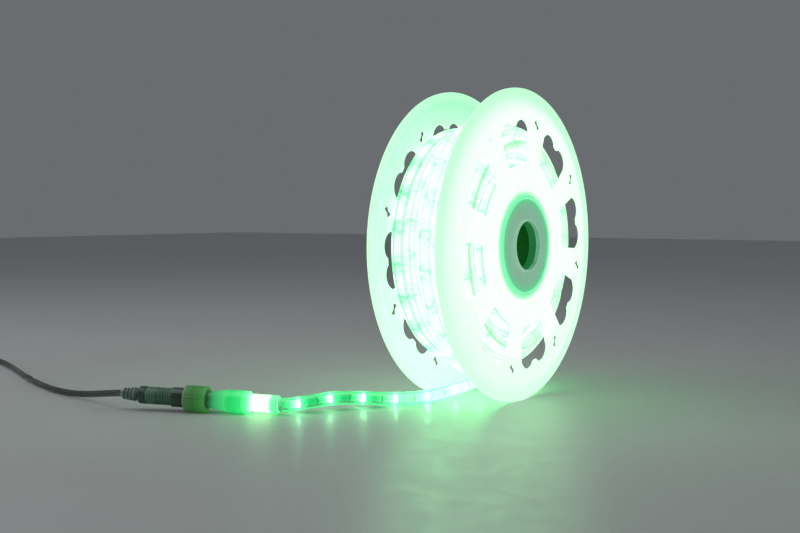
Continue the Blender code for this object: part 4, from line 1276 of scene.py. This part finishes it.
def add_plug():
    """The moulded plug with its ribbed neck and grip dents, and its two flat blades."""
    start = np.array(PLUG_RUN[2]) + PLUG_HEADING * 0.0003
    moulded = plain_plastic("plug_plastic", paint(88, 104, 100), paint(122, 138, 132),
                            scale=140.0, low=0.28, high=0.42, Coat_Weight=0.15)
    neck = [(0.0, 0.0), (0.0, 0.0040)]
    for ring in range(4):
        foot = 0.0012 + ring * 0.0028
        swell = 0.0042 + 0.00025 * ring
        neck += [(foot, swell), (foot + 0.0016, swell), (foot + 0.0018, swell - 0.0006),
                 (foot + 0.0026, swell - 0.0006)]
    neck += [(0.0128, 0.0052), (0.0190, 0.0052), (0.0190, 0.0)]
    middle = start + PLUG_HEADING * PLUG_MIDDLE

    def grip(at):
        return 0.0014 * np.exp(-((at + 0.002) / 0.006) ** 4)

    body = surface("plug_body", [block(middle, PLUG_HEADING, PLUG_SIZE, 0.0025, grip),
                                 turned(rounded(neck, 0.0003), start, PLUG_HEADING, 40)],
                   moulded)
    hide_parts("power_plug")
    brass = plain_plastic("blade_brass", paint(176, 160, 116), paint(206, 192, 150),
                          scale=260.0, low=0.22, high=0.38, Metallic=1.0)
    across = unit(np.cross(PLUG_HEADING, UP))
    blades = []
    for side, node in ((1, "plug_blade_left"), (-1, "plug_blade_right")):
        centre = start + PLUG_HEADING * BLADE_MIDDLE + across * side * BLADE_OFF_CENTRE
        blade = surface(f"blade_{node[11:]}",
                        [block(centre, PLUG_HEADING, BLADE_SIZE, 0.0004)],
                        brass)
        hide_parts(node)
        blades.append(blade)
    return [body, *blades]


# The whole part
reel_skin = reel_plastic()
add_flange(1, "flange_near", "reel_flange_near", NEAR_SLOT_CLOCK, reel_skin)
add_flange(-1, "flange_far", "reel_flange_far", FAR_SLOT_CLOCK, reel_skin)
add_core_tube(core_plastic())
add_wound_rope(wound_rope_skin())
sleeve = add_sleeve()
rope_connector = add_rope_connector()
nut = add_nut()
lead_connector = add_lead_connector()
contact = add_contact_block()
cap = add_cap()
relief = add_relief()
tie = add_tie()
plug_pieces = add_plug()
add_loose_rope()
add_lead()


# Floor, light and camera
def add_stage():
    """A plain pale floor, large enough for every view."""
    mesh = bpy.data.meshes.new("floor")
    corners = [(-1, -1), (1, -1), (1, 1), (-1, 1)]
    mesh.from_pydata([(x * FLOOR_HALF, y * FLOOR_HALF, 0) for x, y in corners], [],
                     [(0, 1, 2, 3)])
    material, tree, shader, tint = finish_material("floor_paint", scale=3.0, low=0.36,
                                                   high=0.44, bump=0.00002)
    colour = ramp(tree, tint, [(0.3, paint(196, 198, 198)), (0.7, paint(202, 204, 204))])
    feed(shader, Base_Color=colour)
    mesh.materials.append(material)
    floor = bpy.data.objects.new("floor", mesh)
    bpy.context.scene.collection.objects.link(floor)


def add_area_light(name, place, aim, size, energy):
    """A square soft light at a place, turned towards a point."""
    light = bpy.data.lights.new(name, "AREA")
    light.size = size
    light.energy = energy
    lamp = bpy.data.objects.new(name, light)
    bpy.context.scene.collection.objects.link(lamp)
    lamp.location = place
    towards = Vector(aim) - Vector(place)
    lamp.rotation_euler = towards.to_track_quat("-Z", "Y").to_euler()


def add_light_and_camera():
    """Soft light from above and both sides, and the photograph's viewing angle."""
    world = bpy.data.worlds.new("studio")
    world.use_nodes = True
    sky = world.node_tree.nodes["Background"].inputs
    sky["Color"].default_value = (0.90, 0.95, 1.0, 1.0)
    sky["Strength"].default_value = 0.16
    bpy.context.scene.world = world
    add_area_light("soft_top", (-0.4, -0.3, 1.6), (-0.2, 0.0, 0.1), 1.6, 7.0)
    add_area_light("soft_side", (-1.4, -1.3, 0.9), (-0.2, -0.1, 0.1), 1.2, 5.0)
    camera = bpy.data.cameras.new("photo_view")
    camera.lens = LENS
    camera.sensor_width = 36.0
    camera.clip_start = 0.05
    camera.clip_end = 50.0
    holder = bpy.data.objects.new("photo_view", camera)
    bpy.context.scene.collection.objects.link(holder)
    holder.location = CAMERA_PLACE
    holder.rotation_euler = CAMERA_TURN
    bpy.context.scene.camera = holder
    bpy.context.scene.view_settings.view_transform = "Standard"


add_stage()
add_light_and_camera()
